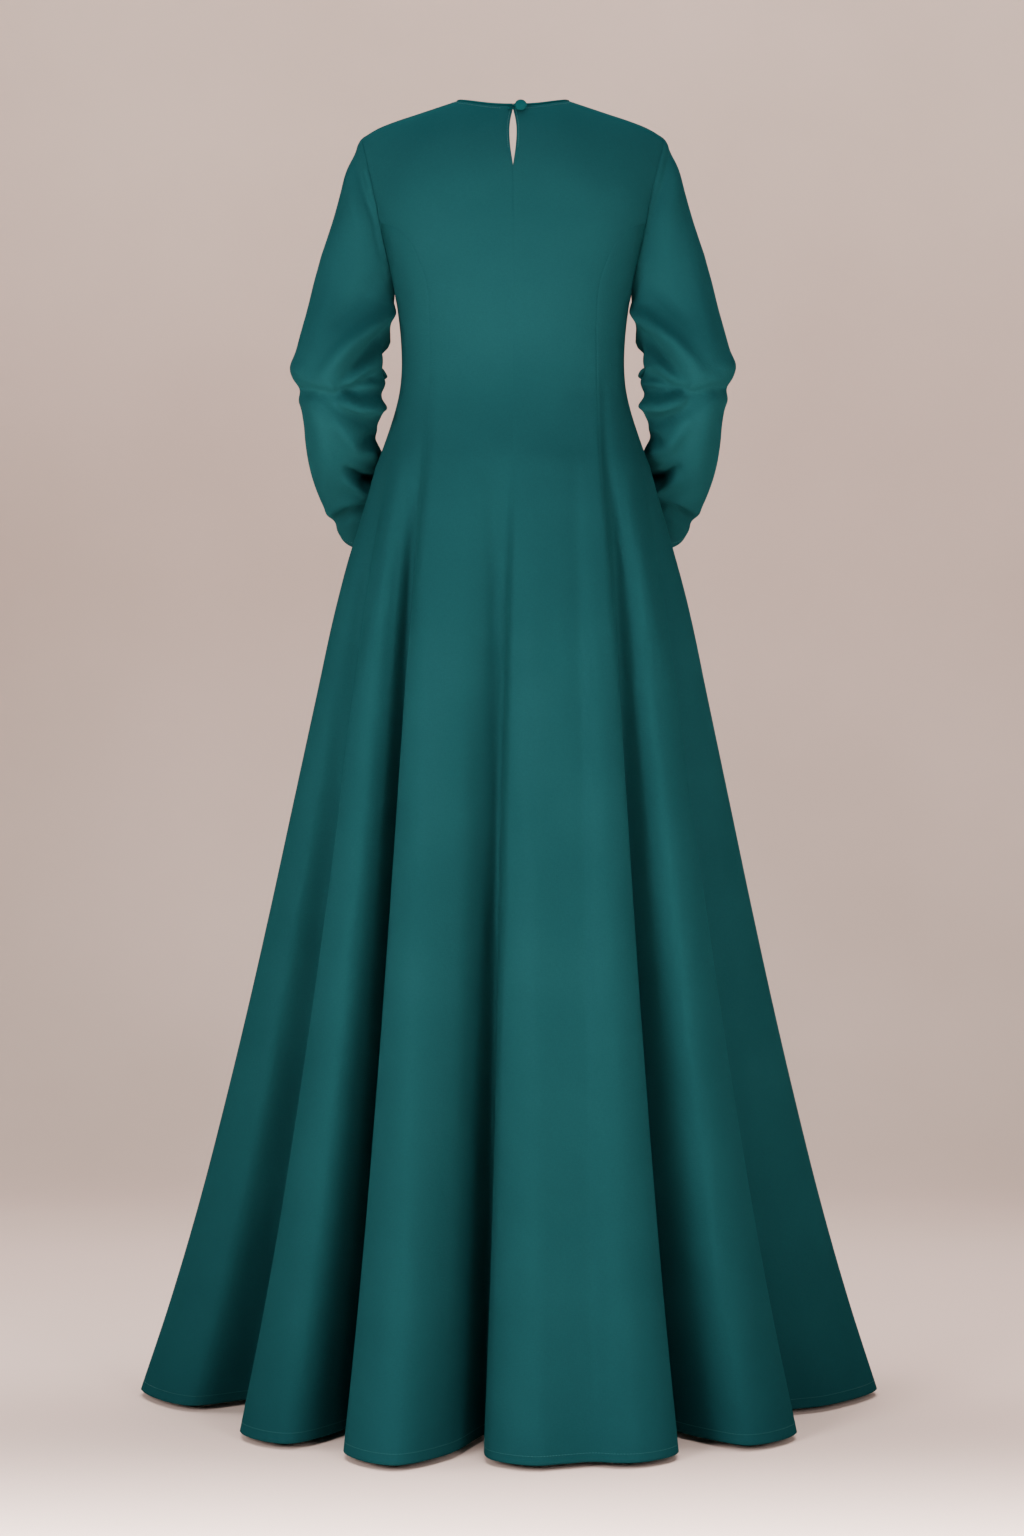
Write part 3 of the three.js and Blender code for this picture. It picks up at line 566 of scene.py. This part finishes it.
# The crepe: pebbled weave, cloudy dye and a little sheen, shared by every cloth piece
crepe_surface = bpy.data.node_groups.new("crepe_surface", "ShaderNodeTree")
for socket, way, kind in (
    ("Dye", "INPUT", "Color"),
    ("Lit Dye", "INPUT", "Color"),
    ("Colour", "OUTPUT", "Color"),
    ("Roughness", "OUTPUT", "Float"),
    ("Normal", "OUTPUT", "Vector"),
):
    crepe_surface.interface.new_socket(socket, in_out=way, socket_type="NodeSocket" + kind)
nodes, links = crepe_surface.nodes, crepe_surface.links
group_in = nodes.new("NodeGroupInput")
group_out = nodes.new("NodeGroupOutput")
on_cloth = nodes.new("ShaderNodeUVMap")
on_cloth.uv_map = "weave"
noises = []
for scale, detail, stretch in (
    (9, 4, (1, 1, 1)),
    (900, 2, (1, 0.25, 1)),
    (900, 2, (0.25, 1, 1)),
    (26, 3, (1, 0.6, 1)),
):
    stretched = add_node(nodes, "ShaderNodeMapping", {"Scale": stretch})
    noise = add_node(nodes, "ShaderNodeTexNoise", {"Scale": scale, "Detail": detail})
    links.new(on_cloth.outputs["UV"], stretched.inputs["Vector"])
    links.new(stretched.outputs["Vector"], noise.inputs["Vector"])
    noises.append(noise.outputs["Fac"])
dye_clouds, warp, weft, rumple = noises
threads = nodes.new("ShaderNodeMath")
threads.operation = "ADD"
dye_mask = add_node(nodes, "ShaderNodeMapRange", {"From Min": 0.3, "From Max": 0.7})
thread_mask = add_node(nodes, "ShaderNodeMapRange", {"From Min": 0.7, "From Max": 1.3, "To Max": 0.5})
dye_and_thread = add_node(nodes, "ShaderNodeMath", {1: 0.5})
dye_and_thread.operation = "MULTIPLY_ADD"
dyed = nodes.new("ShaderNodeMix")
dyed.data_type = "RGBA"
gloss = add_node(nodes, "ShaderNodeMapRange", {"To Min": 0.52, "To Max": 0.66})
soft_rumple = add_node(nodes, "ShaderNodeBump", {"Strength": 0.25, "Distance": 0.004})
fine_weave = add_node(nodes, "ShaderNodeBump", {"Strength": 0.35, "Distance": 0.0004})
for output, socket in (
    (warp, threads.inputs[0]),
    (weft, threads.inputs[1]),
    (dye_clouds, dye_mask.inputs["Value"]),
    (threads.outputs["Value"], thread_mask.inputs["Value"]),
    (dye_mask.outputs["Result"], dye_and_thread.inputs[0]),
    (thread_mask.outputs["Result"], dye_and_thread.inputs[2]),
    (dye_and_thread.outputs["Value"], dyed.inputs["Factor"]),
    (group_in.outputs["Dye"], dyed.inputs["A"]),
    (group_in.outputs["Lit Dye"], dyed.inputs["B"]),
    (dyed.outputs["Result"], group_out.inputs["Colour"]),
    (rumple, gloss.inputs["Value"]),
    (gloss.outputs["Result"], group_out.inputs["Roughness"]),
    (rumple, soft_rumple.inputs["Height"]),
    (threads.outputs["Value"], fine_weave.inputs["Height"]),
    (soft_rumple.outputs["Normal"], fine_weave.inputs["Normal"]),
    (fine_weave.outputs["Normal"], group_out.inputs["Normal"]),
):
    links.new(output, socket)


def crepe(name, dye, lit_dye):
    material, nodes, links, shader = new_material(name)
    surface = nodes.new("ShaderNodeGroup")
    surface.node_tree = crepe_surface
    surface.inputs["Dye"].default_value = (*dye, 1)
    surface.inputs["Lit Dye"].default_value = (*lit_dye, 1)
    links.new(surface.outputs["Colour"], shader.inputs["Base Color"])
    links.new(surface.outputs["Roughness"], shader.inputs["Roughness"])
    links.new(surface.outputs["Normal"], shader.inputs["Normal"])
    shader.inputs["Specular IOR Level"].default_value = 0
    shader.inputs["Sheen Weight"].default_value = 0.03
    shader.inputs["Sheen Roughness"].default_value = 0.45
    shader.inputs["Sheen Tint"].default_value = (0.1, 0.75, 0.78, 1)
    return material


gown_crepe = crepe("teal_crepe", (0.0052, 0.0385, 0.0440), (0.0070, 0.0485, 0.0550))


def hang(piece, node, material):
    piece.data.materials.append(material)
    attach(piece, "root")
    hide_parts(node)


def body_panel(name, grid):
    """One panel's cloth. The centre back seam lies flatter than the others, and opens at the keyhole."""
    flatter = 0.25
    left, right = flatter if name == "back_right" else 1, flatter if name == "back_left" else 1
    grid = sunk_seams(creased(ease_hip(grid)), left, right)
    if name in ("back_left", "back_right"):
        side = -1 if name == "back_left" else 1
        share = np.linspace(0, 1, grid.shape[1]) if side < 0 else np.linspace(1, 0, grid.shape[1])
        grid[..., 0] += side * keyhole_half_width(grid[..., 2]) * share**4
    piece = cloth_object(name + "_cloth", turned_hem(grid, HEM_TURN))
    hang(piece, name, gown_crepe)
    return grid


LEFT_SIDE, LEFT_PRINCESS_BACK, CENTRE_BACK, RIGHT_PRINCESS_BACK = 1, 8, 35 / 3, 18
back_left_grid = centre_panel(False, LEFT_PRINCESS_BACK, CENTRE_BACK, -1, 0, 5 / 11, 0)
back_right_grid = centre_panel(False, CENTRE_BACK, RIGHT_PRINCESS_BACK, 0, 1, 0, 5 / 19)
back_left_outer = body_panel("back_left", back_left_grid)
back_right_outer = body_panel("back_right", back_right_grid)


# Side back panels
# A flared panel on each side, from the armhole down, sewn to the centre back along the princess seam.
RIGHT_SIDE = 25


def armhole_place(share):
    angle = mix(junction_angle, 90, 1 - np.cos(np.radians(90 * share)))
    return angle, mix(JUNCTION, UNDERARM, np.sin(np.radians(90 * share)))


def side_panel(start, end, from_side_seam, facing, offset):
    quarters = panel_columns(start, end)
    share = (hip_angle(quarters) - hip_angle(start)) / (hip_angle(end) - hip_angle(start))
    if from_side_seam:
        share = 1 - share
    middle = 180 if abs(offset) == 180 else 0
    princess_at_hip = abs(float(hip_angle(end if from_side_seam else start)) - middle)
    top_angle, top_level = armhole_place(share)
    rows = []
    for level in UPPER_LEVELS:
        down = (level - JUNCTION) / (SIDE_SETTLED - JUNCTION)
        spread = mix((top_angle - junction_angle) / (90 - junction_angle), share, down)
        angle = mix(princess_angle(level, princess_at_hip), 90, spread)
        rows.append(body_point(offset + facing * angle, mix(top_level, SIDE_SETTLED, down)))
    for level in WAIST_LEVELS:
        angle = mix(princess_angle(level, princess_at_hip), 90, share)
        rows.append(body_point(offset + facing * angle, np.full_like(share, level)))
    rows += [skirt_point(quarters, np.full_like(quarters, level)) for level in SKIRT_LEVELS]
    return np.stack(rows)


side_back_left_grid = side_panel(LEFT_SIDE, LEFT_PRINCESS_BACK, True, -1, 0)
side_back_right_grid = side_panel(RIGHT_PRINCESS_BACK, RIGHT_SIDE, False, 1, 0)
side_back_left_outer = body_panel("side_back_left", side_back_left_grid)
side_back_right_outer = body_panel("side_back_right", side_back_right_grid)


# Front panels
# One centre front panel and a side front panel on each side, cut like the back but without the opening.
RIGHT_PRINCESS_FRONT, LEFT_PRINCESS_FRONT = 36, 42
front_grid = centre_panel(True, RIGHT_PRINCESS_FRONT, LEFT_PRINCESS_FRONT, 1, -1, 5 / 18, 5 / 18)
side_front_right_grid = side_panel(RIGHT_SIDE, RIGHT_PRINCESS_FRONT, True, -1, 180)
side_front_left_grid = side_panel(LEFT_PRINCESS_FRONT, QUARTERS_ROUND + LEFT_SIDE, False, 1, 180)
front_outer = body_panel("front", front_grid)
side_front_right_outer = body_panel("side_front_right", side_front_right_grid)
side_front_left_outer = body_panel("side_front_left", side_front_left_grid)


# Sleeves
# One piece each, set into the armhole, bent forward at the elbow and turned up inside at the wrist.
# middle x, y, z, half-width to the side, half-width to the back
ARM = [
    (186, -2, -246, 47.5, 54),
    (197.5, -22, -303, 50, 53),
    (197.5, -25, -322, 50, 52),
    (194, -16, -345, 47.5, 51),
    (195.5, 5, -372, 43.5, 50),
    (195, 38, -404, 41, 47),
    (187, 74, -432, 41, 44),
    (177, 104, -454, 40.5, 42),
    (168, 132, -472, 40, 40),
]
SLEEVE_COLUMNS = 128
SLEEVE_ROWS = 92
HEAD_ROWS = 42
HEAD_LIFT = 55
ARMHOLE_SINK = 0.7
SEAM_ALLOWANCE = 5
ALLOWANCE_TO = (105, 0, -135)
CREASES_FROM = 14
CUFF_TURN = 14
# from the armhole down, as seen from behind, for the left sleeve: places, height, half-width
SLEEVE_BACK_CREASES = [
    ([(-181, -62), (-172, -98), (-153, -140), (-150, -175)], -5, 7),
    ([(-198, -60), (-214, -112), (-226, -180)], -5, 26),
    ([(-192, -76), (-188, -110), (-176, -150)], 3, 9),
    ([(-205, -160), (-218, -252), (-230, -300)], 3, 13),
    ([(-150, -205), (-180, -232), (-212, -262)], -5, 12),
    ([(-120, -226), (-150, -250), (-186, -280), (-215, -312)], 14, 9),
    ([(-118, -252), (-150, -278), (-178, -304), (-200, -326)], -14, 8.5),
    ([(-262, -298), (-251, -307), (-240, -316)], 6.5, 12),
    ([(-262, -332), (-243, -333), (-225, -335)], -6.5, 8),
    ([(-139, -315), (-157, -318), (-176, -330), (-204, -340), (-236, -336)], -14.5, 7.5),
    ([(-188, -336), (-172, -338), (-147, -334)], -13, 5.5),
    ([(-190, -352), (-172, -353), (-140, -350)], 13, 6.5),
    ([(-222, -345), (-196, -358), (-168, -370), (-138, -375)], -11, 7.5),
    ([(-224, -350), (-216, -400), (-210, -455)], 5, 12),
    ([(-200, -372), (-180, -396), (-140, -412)], 10, 9),
    ([(-137, -384), (-154, -386), (-176, -398)], -11, 6.5),
    ([(-188, -424), (-170, -434), (-130, -434)], -14, 5.5),
    ([(-190, -436), (-172, -446), (-130, -446)], 11, 5.5),
    ([(-220, -478), (-192, -462), (-140, -448)], 5, 6),
    ([(-214, -490), (-190, -474), (-140, -462)], -10, 6.5),
]
# the same from the front, for the right sleeve
SLEEVE_FRONT_CREASES = [
    ([(198, -60), (214, -112), (226, -180)], -5, 26),
    ([(182, -66), (170, -104), (152, -142)], -5, 7),
    ([(120, -226), (168, -268), (214, -300)], -10.5, 9),
    ([(124, -254), (176, -292), (218, -322)], 10.5, 9),
    ([(140, -284), (182, -318), (238, -334)], -11.5, 8),
    ([(130, -316), (186, -340), (238, -350)], 9, 8),
    ([(140, -345), (190, -366), (232, -374)], -8, 8),
    ([(140, -420), (178, -430), (214, -426)], -8, 7),
    ([(140, -440), (176, -448), (208, -446)], 6.5, 7),
]


def resampled(loop, places):
    """Points at the given shares of a closed loop's length, from its first point."""
    closed = np.concatenate([loop, loop[:1]])
    along = run(closed)
    along /= along[-1]
    return np.stack([np.interp(places, along, closed[:, k]) for k in range(3)], -1)


def spline(points, t):
    """A smooth curve through points, at places from 0 to the number of spans."""
    points = np.concatenate([2 * points[:1] - points[1:2], points, 2 * points[-1:] - points[-2:-1]])
    i = np.clip(np.floor(t).astype(int), 0, len(points) - 4)
    s = (t - i)[:, None]
    p0, p1, p2, p3 = points[i], points[i + 1], points[i + 2], points[i + 3]
    return p1 + 0.5 * s * (p2 - p0 + s * (2 * p0 - 5 * p1 + 4 * p2 - p3 + s * (3 * (p1 - p2) + p3 - p0)))


def sleeve(name, armhole, underarm, side, back, front):
    """A sleeve from its armhole down the arm, as rings of outer points that start at the top."""
    lengths = run(np.concatenate([armhole, armhole[:1]]))
    under = lengths[underarm] / lengths[-1]
    angles = np.arange(SLEEVE_COLUMNS) * 360 / SLEEVE_COLUMNS
    shares = np.where(angles < 180, under * angles / 180, under + (1 - under) * (angles - 180) / 180)
    top = resampled(armhole, shares)
    turned = np.radians(angles if side < 0 else -angles)
    arm = spline(np.array(ARM, float), np.linspace(0, len(ARM) - 1, SLEEVE_ROWS))
    middles = arm[:, :3]
    directions = np.gradient(middles, axis=0)
    directions /= np.linalg.norm(directions, axis=1, keepdims=True)
    to_side = np.array([1.0, 0, 0]) - directions * directions[:, :1]
    to_side /= np.linalg.norm(to_side, axis=1, keepdims=True)
    to_back = np.cross(directions, to_side)
    rings = (
        middles[:, None]
        + to_side[:, None] * (arm[:, 3, None] * np.cos(turned))[..., None]
        + to_back[:, None] * (arm[:, 4, None] * np.sin(turned))[..., None]
    )
    rings[..., 0] *= side
    high = (0.5 + 0.5 * np.cos(np.radians(angles)))[:, None]
    bulge = mix(top, rings[0], 0.45) + np.array([0, 0, HEAD_LIFT]) * high**2
    t = np.linspace(0, 1, HEAD_ROWS)[:-1, None, None]
    head = mix(mix(top, bulge, t), mix(bulge, rings[0], t), t)
    grid = np.concatenate([head, rings])
    grid[6:-6] = softened(grid, 6, 2.5)[6:-6]
    normal = normals_of(grid, True)
    height = crease_lift(grid, normal, back, front, 1.3)
    grid = grid + normal * (height * np.clip(run(grid) / CREASES_FROM, 0, 1))[..., None]
    grid[0] -= normal[0] * ARMHOLE_SINK
    inwards = np.array(ALLOWANCE_TO) * (side, 1, 1) - grid[0]
    inwards /= np.linalg.norm(inwards, axis=1, keepdims=True)
    allowance = np.stack([grid[0] + inwards * SEAM_ALLOWANCE, grid[0] + inwards * 2.2])
    cut = np.concatenate([allowance, turned_hem(grid, CUFF_TURN, True)])
    piece = cloth_object(name + "_cloth", cut, closed=True)
    hang(piece, name, gown_crepe)
    return grid


def mirrored(creases, stretch=1.0, shift=0.0):
    """The creases for the other sleeve, a little narrower or higher if need be."""
    return [([(-x * stretch, z + shift) for x, z in places], rise, wide) for places, rise, wide in creases]


yoke = len(YOKE_ROWS)
left_armhole = np.concatenate([
    back_left_grid[: yoke + 2, 0],
    side_back_left_grid[0, ::-1],
    side_front_left_grid[0, ::-1][1:],
    front_grid[: yoke + 2, -1][::-1][:-1],
])
right_armhole = np.concatenate([
    front_grid[: yoke + 2, 0],
    side_front_right_grid[0, ::-1],
    side_back_right_grid[0, ::-1][1:],
    back_right_grid[: yoke + 2, -1][::-1][:-1],
])
left_sleeve_grid = sleeve(
    "sleeve_left",
    left_armhole,
    yoke + 1 + side_back_left_grid.shape[1],
    -1,
    SLEEVE_BACK_CREASES,
    mirrored(SLEEVE_FRONT_CREASES),
)
right_sleeve_grid = sleeve(
    "sleeve_right",
    right_armhole,
    yoke + 1 + side_front_right_grid.shape[1],
    1,
    mirrored(SLEEVE_BACK_CREASES, 0.99, 2),
    SLEEVE_FRONT_CREASES,
)


# Neck binding
# A narrow strip of the same crepe folded over the neck edge, from one side of the keyhole round to the other.
BINDING_DEPTH = 4.2
# outwards from the cloth's outer side, down from the neck edge
BINDING_SECTION = [
    (0.12, BINDING_DEPTH), (0.62, BINDING_DEPTH + 0.05), (1.0, BINDING_DEPTH - 0.35), (1.08, 2.4), (1.0, 0.9),
    (0.75, 0.2), (0.2, -0.25), (-0.45, -0.4), (-1.1, -0.25), (-1.65, 0.2), (-1.9, 0.9), (-1.95, 2.4),
    (-1.85, BINDING_DEPTH - 0.35), (-1.5, BINDING_DEPTH), (-1.05, BINDING_DEPTH), (-1.05, 1.0),
    (-0.45, 0.6), (0.12, 1.0),
]
binding_crepe = crepe("binding_crepe", (0.0030, 0.044, 0.050), (0.0042, 0.055, 0.062))
BINDING_STATIONS = 34
to_shoulder, from_shoulder = np.linspace(0, 90, BINDING_STATIONS), np.linspace(90, 0, BINDING_STATIONS)
stations = [(False, 1, sweep) for sweep in to_shoulder[:-1]]
stations += [(True, 1, sweep) for sweep in from_shoulder]
stations += [(True, -1, sweep) for sweep in to_shoulder[1:]]
stations += [(False, -1, sweep) for sweep in from_shoulder[1:]]
binding_rings = []
for is_front, side, sweep in stations:
    across, turn = neck_place(is_front, sweep, NECK_EDGE)
    lower_across, lower_turn = neck_place(is_front, sweep, WIDER_NECK_EDGE)
    top = yoke_point(is_front, side * across, turn)
    down = yoke_point(is_front, side * lower_across, lower_turn) - top
    down /= np.linalg.norm(down)
    here = side * across
    right = yoke_point(is_front, here + 0.01, turn) - yoke_point(is_front, here - 0.01, turn)
    over = yoke_point(is_front, here, turn + 1) - yoke_point(is_front, here, turn - 1)
    normal = np.cross(right, over)
    normal *= np.sign(normal[2]) / np.linalg.norm(normal)
    if not is_front:
        nearness = math.cos(math.radians(sweep)) ** 8
        top[0] += side * (0.2 + float(keyhole_half_width(top[2] - 4))) * nearness
    binding_rings.append([top + normal * out + down * fall for out, fall in BINDING_SECTION])
binding_grid = np.array(binding_rings)
count, section = binding_grid.shape[:2]
number = np.arange(count * section).reshape(count, section)
beyond = np.roll(number, -1, 1)
walls = np.stack([number[:-1], beyond[:-1], beyond[1:], number[1:]], -1).reshape(-1, 4)
binding_faces = walls.tolist() + [number[0].tolist(), number[-1].tolist()]
binding_mesh = mesh_in_metres("neck_binding_cloth", binding_grid, binding_faces)
weave = binding_mesh.uv_layers.new(name="weave").data
for loop in binding_mesh.loops:
    i, k = divmod(loop.vertex_index, section)
    weave[loop.index].uv = (i * 0.003, k * 0.0009)
neck_binding = place_object("neck_binding_cloth", binding_mesh)
bpy.ops.object.mode_set(mode="EDIT")
bpy.ops.mesh.select_all(action="SELECT")
bpy.ops.mesh.normals_make_consistent(inside=False)
bpy.ops.object.mode_set(mode="OBJECT")
bpy.ops.object.shade_smooth_by_angle(angle=math.radians(50))
hang(neck_binding, "neck_binding", binding_crepe)


# Button
# A small domed button covered with crepe, gathered to a shank that is sewn to the right edge of the keyhole.
button_crepe = crepe("button_crepe", (0.0030, 0.046, 0.052), (0.0042, 0.058, 0.064))
BUTTON_RIGHT = 8.3
BUTTON_BELOW_NECK = 6.7
BUTTON_RADIUS = 6.8
BUTTON_RIM = 6.0
DOME_HEIGHT = 2.2
GATHER_DEPTH = 1.3
SHANK_RADIUS = 1.5
SHANK_TOP = 4.7
LEAN = math.radians(30)
button_sweep = math.degrees(math.asin(BUTTON_RIGHT / NECK_EDGE[0]))
button_across, button_turn = neck_place(False, button_sweep, NECK_EDGE)
seat = yoke_point(False, button_across, button_turn + BUTTON_BELOW_NECK)
seat_down = yoke_point(False, button_across, button_turn + BUTTON_BELOW_NECK + 2) - seat
seat_down /= np.linalg.norm(seat_down)
seat_out = -np.cross([1.0, 0, 0], seat_down)
seat_out /= np.linalg.norm(seat_out)
seat_frame = Matrix([[1, 0, 0], -seat_down, seat_out]).transposed().to_4x4()
seat_frame.translation = Vector(seat / 1000)

bpy.ops.object.select_all(action="DESELECT")
bpy.ops.mesh.primitive_uv_sphere_add(segments=40, ring_count=24, radius=BUTTON_RADIUS / 1000)
button = bpy.context.object
button.name = button.data.name = "covered_button"
for vertex in button.data.vertices:
    x, y, z = vertex.co * 1000
    out = math.hypot(x, y)
    angle = math.atan2(y, x)
    up = z / BUTTON_RADIUS
    if up >= 0:
        z = BUTTON_RIM + DOME_HEIGHT * up**0.9
    else:
        gather = 1 + 0.05 * math.sin(11 * angle) * min(1, -up * 2)
        x, y = x * gather, y * gather
        z = BUTTON_RIM + GATHER_DEPTH * up
        if out < 2.6:
            narrower = SHANK_RADIUS / max(out, SHANK_RADIUS)
            x, y, z = x * narrower, y * narrower, z if out > SHANK_RADIUS else 1.0
    if z > SHANK_TOP - 0.1:
        above = z - SHANK_TOP
        z = SHANK_TOP + y * math.sin(LEAN) + above * math.cos(LEAN)
        y = y * math.cos(LEAN) - above * math.sin(LEAN)
    vertex.co = (x / 1000, y / 1000, z / 1000)
button.data.transform(seat_frame)
button.data.uv_layers[0].name = "weave"
for loop in button.data.loops:
    co = button.data.vertices[loop.vertex_index].co
    button.data.uv_layers["weave"].data[loop.index].uv = (co.x, co.z)
button.data.shade_smooth()
hang(button, "button", button_crepe)


# Button loop
# A rolled crepe cord, sewn to the left edge of the keyhole and passed round the button's shank.
loop_crepe = crepe("loop_crepe", (0.0022, 0.037, 0.042), (0.0034, 0.047, 0.053))
CORD_RADIUS = 0.8
CORD_HEIGHT = 1.8
LOOP_RADIUS = 2.7
loop_start = -6 - BUTTON_RIGHT
leg = [(loop_start, 1.7), (loop_start * 0.72, 2.2), (loop_start * 0.4, 2.6)]
arc = np.radians(np.linspace(110, -110, 13))
loop_path = leg + [(LOOP_RADIUS * math.cos(a), LOOP_RADIUS * math.sin(a)) for a in arc]
loop_path += [(x, -y) for x, y in reversed(leg)]
loop_curve = bpy.data.curves.new("cord_loop", "CURVE")
loop_curve.dimensions = "3D"
loop_curve.bevel_depth = CORD_RADIUS / 1000
loop_curve.bevel_resolution = 3
loop_curve.use_fill_caps = True
loop_spline = loop_curve.splines.new("NURBS")
loop_spline.points.add(len(loop_path) - 1)
for point, (x, y) in zip(loop_spline.points, loop_path):
    point.co = (x / 1000, y / 1000, CORD_HEIGHT / 1000, 1)
loop_spline.use_cyclic_u = True
loop_spline.order_u = 3
loop_spline.resolution_u = 5
place_object("cord_loop", loop_curve)
bpy.ops.object.convert(target="MESH")
button_loop = bpy.context.object
button_loop.data.transform(seat_frame)
if not button_loop.data.uv_layers:
    button_loop.data.uv_layers.new(name="weave")
button_loop.data.uv_layers[0].name = "weave"
button_loop.data.shade_smooth()
hang(button_loop, "button_loop", loop_crepe)


# Stitching
# Machine stitches in a lighter teal thread: round the hem and the cuffs, below the neck edge and down both
# sides of the keyhole. Each stitch is a small bead of thread that lies on the cloth.
HEM_STITCHES_UP = 9.5
CUFF_STITCHES_UP = 12
NECK_STITCHES_EDGE = (69.5, 34, 69)
KEYHOLE_STITCHES_OUT = 2.6
KEYHOLE_STITCHES_FROM = -21
KEYHOLE_STITCHES_TO = -76
thread, nodes, links, shader = new_material("teal_thread")
thread_place = nodes.new("ShaderNodeTexCoord")
thread_twist = add_node(nodes, "ShaderNodeTexNoise", {"Scale": 2500})
thread_colours = nodes.new("ShaderNodeValToRGB")
thread_colours.color_ramp.elements[0].color = (0.008, 0.075, 0.077, 1)
thread_colours.color_ramp.elements[1].color = (0.016, 0.125, 0.127, 1)
links.new(thread_place.outputs["Object"], thread_twist.inputs["Vector"])
links.new(thread_twist.outputs["Fac"], thread_colours.inputs["Fac"])
links.new(thread_colours.outputs["Color"], shader.inputs["Base Color"])
shader.inputs["Roughness"].default_value = 0.5

bpy.ops.object.select_all(action="DESELECT")
bpy.ops.mesh.primitive_uv_sphere_add(segments=6, ring_count=4, radius=0.5)
stitch_pattern = bpy.context.object
stitch_points = np.array([vertex.co[:] for vertex in stitch_pattern.data.vertices])
stitch_faces = [list(face.vertices) for face in stitch_pattern.data.polygons]
bpy.data.objects.remove(stitch_pattern)


def stitch_line(name, line, normal, length=2.6, gap=0.7, thick=0.42):
    """Stitches along a line of points that lies on the cloth."""
    along = run(line)
    centres = np.arange(length / 2, along[-1] - length / 2, length + gap)
    at = np.stack([np.interp(centres, along, line[:, k]) for k in range(3)], -1)
    ahead = np.stack([np.interp(centres + 0.4, along, line[:, k]) for k in range(3)], -1)
    up = np.stack([np.interp(centres, along, normal[:, k]) for k in range(3)], -1)
    forward = ahead - at
    forward /= np.linalg.norm(forward, axis=1, keepdims=True)
    up -= forward * (up * forward).sum(1, keepdims=True)
    up /= np.linalg.norm(up, axis=1, keepdims=True)
    across = np.cross(up, forward)
    shape = stitch_points * np.array([length, thick, thick * 0.8])
    points = (
        at[:, None]
        + forward[:, None] * shape[None, :, :1]
        + across[:, None] * shape[None, :, 1:2]
        + up[:, None] * shape[None, :, 2:]
    )
    count = len(stitch_points)
    faces = [[index + count * i for index in face] for i in range(len(at)) for face in stitch_faces]
    mesh = mesh_in_metres(name, points, faces)
    mesh.shade_smooth()
    mesh.materials.append(thread)
    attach(place_object(name, mesh), "root")


def edge_stitches(name, grid, distance, closed=False):
    """Stitches that run along a panel's lower edge, that far above it."""
    normal = normals_of(grid, closed)
    row = int(np.argmin(np.abs(run(grid[::-1])[::-1].mean(1) - distance)))
    line, up = grid[row], normal[row]
    if closed:
        line, up = np.concatenate([line, line[:1]]), np.concatenate([up, up[:1]])
    stitch_line(name, line + up * 0.08, up)


for name, outer in (
    ("back_left", back_left_outer),
    ("back_right", back_right_outer),
    ("side_back_left", side_back_left_outer),
    ("side_back_right", side_back_right_outer),
    ("front", front_outer),
    ("side_front_left", side_front_left_outer),
    ("side_front_right", side_front_right_outer),
):
    edge_stitches(f"hem_stitches_{name}", outer, HEM_STITCHES_UP)
edge_stitches("cuff_stitches_left", left_sleeve_grid, CUFF_STITCHES_UP, True)
edge_stitches("cuff_stitches_right", right_sleeve_grid, CUFF_STITCHES_UP, True)
for part, is_front, first in (("back", False, 10), ("front", True, 0)):
    for hand, side in (("left", -1), ("right", 1)):
        across, turn = neck_place(is_front, np.linspace(90, first, 60), NECK_STITCHES_EDGE)
        line = yoke_point(is_front, side * across, turn)
        over = yoke_point(is_front, side * across, turn + 1) - line
        out = np.cross(np.gradient(line, axis=0), over)
        out *= np.sign(out[:, 2:]) / np.linalg.norm(out, axis=1, keepdims=True)
        stitch_line(f"neck_stitches_{part}_{hand}", line + out * 0.12, out, length=2.2, gap=0.6, thick=0.4)
for hand, outer, outwards in (("left", back_left_outer, -1), ("right", back_right_outer, 1)):
    beside = []
    normal = normals_of(outer)
    for row in range(len(YOKE_ROWS)):
        places, ups = outer[row][::outwards], normal[row][::outwards]
        reach = run(places)
        point = [np.interp(KEYHOLE_STITCHES_OUT, reach, places[:, k]) for k in range(3)]
        up = [np.interp(KEYHOLE_STITCHES_OUT, reach, ups[:, k]) for k in range(3)]
        if KEYHOLE_STITCHES_TO < point[2] < KEYHOLE_STITCHES_FROM:
            beside.append((point, up))
    line, up = np.array(beside).transpose(1, 0, 2)
    stitch_line(f"keyhole_stitches_{hand}", line + up * 0.1, up, length=2.0, gap=0.6, thick=0.36)
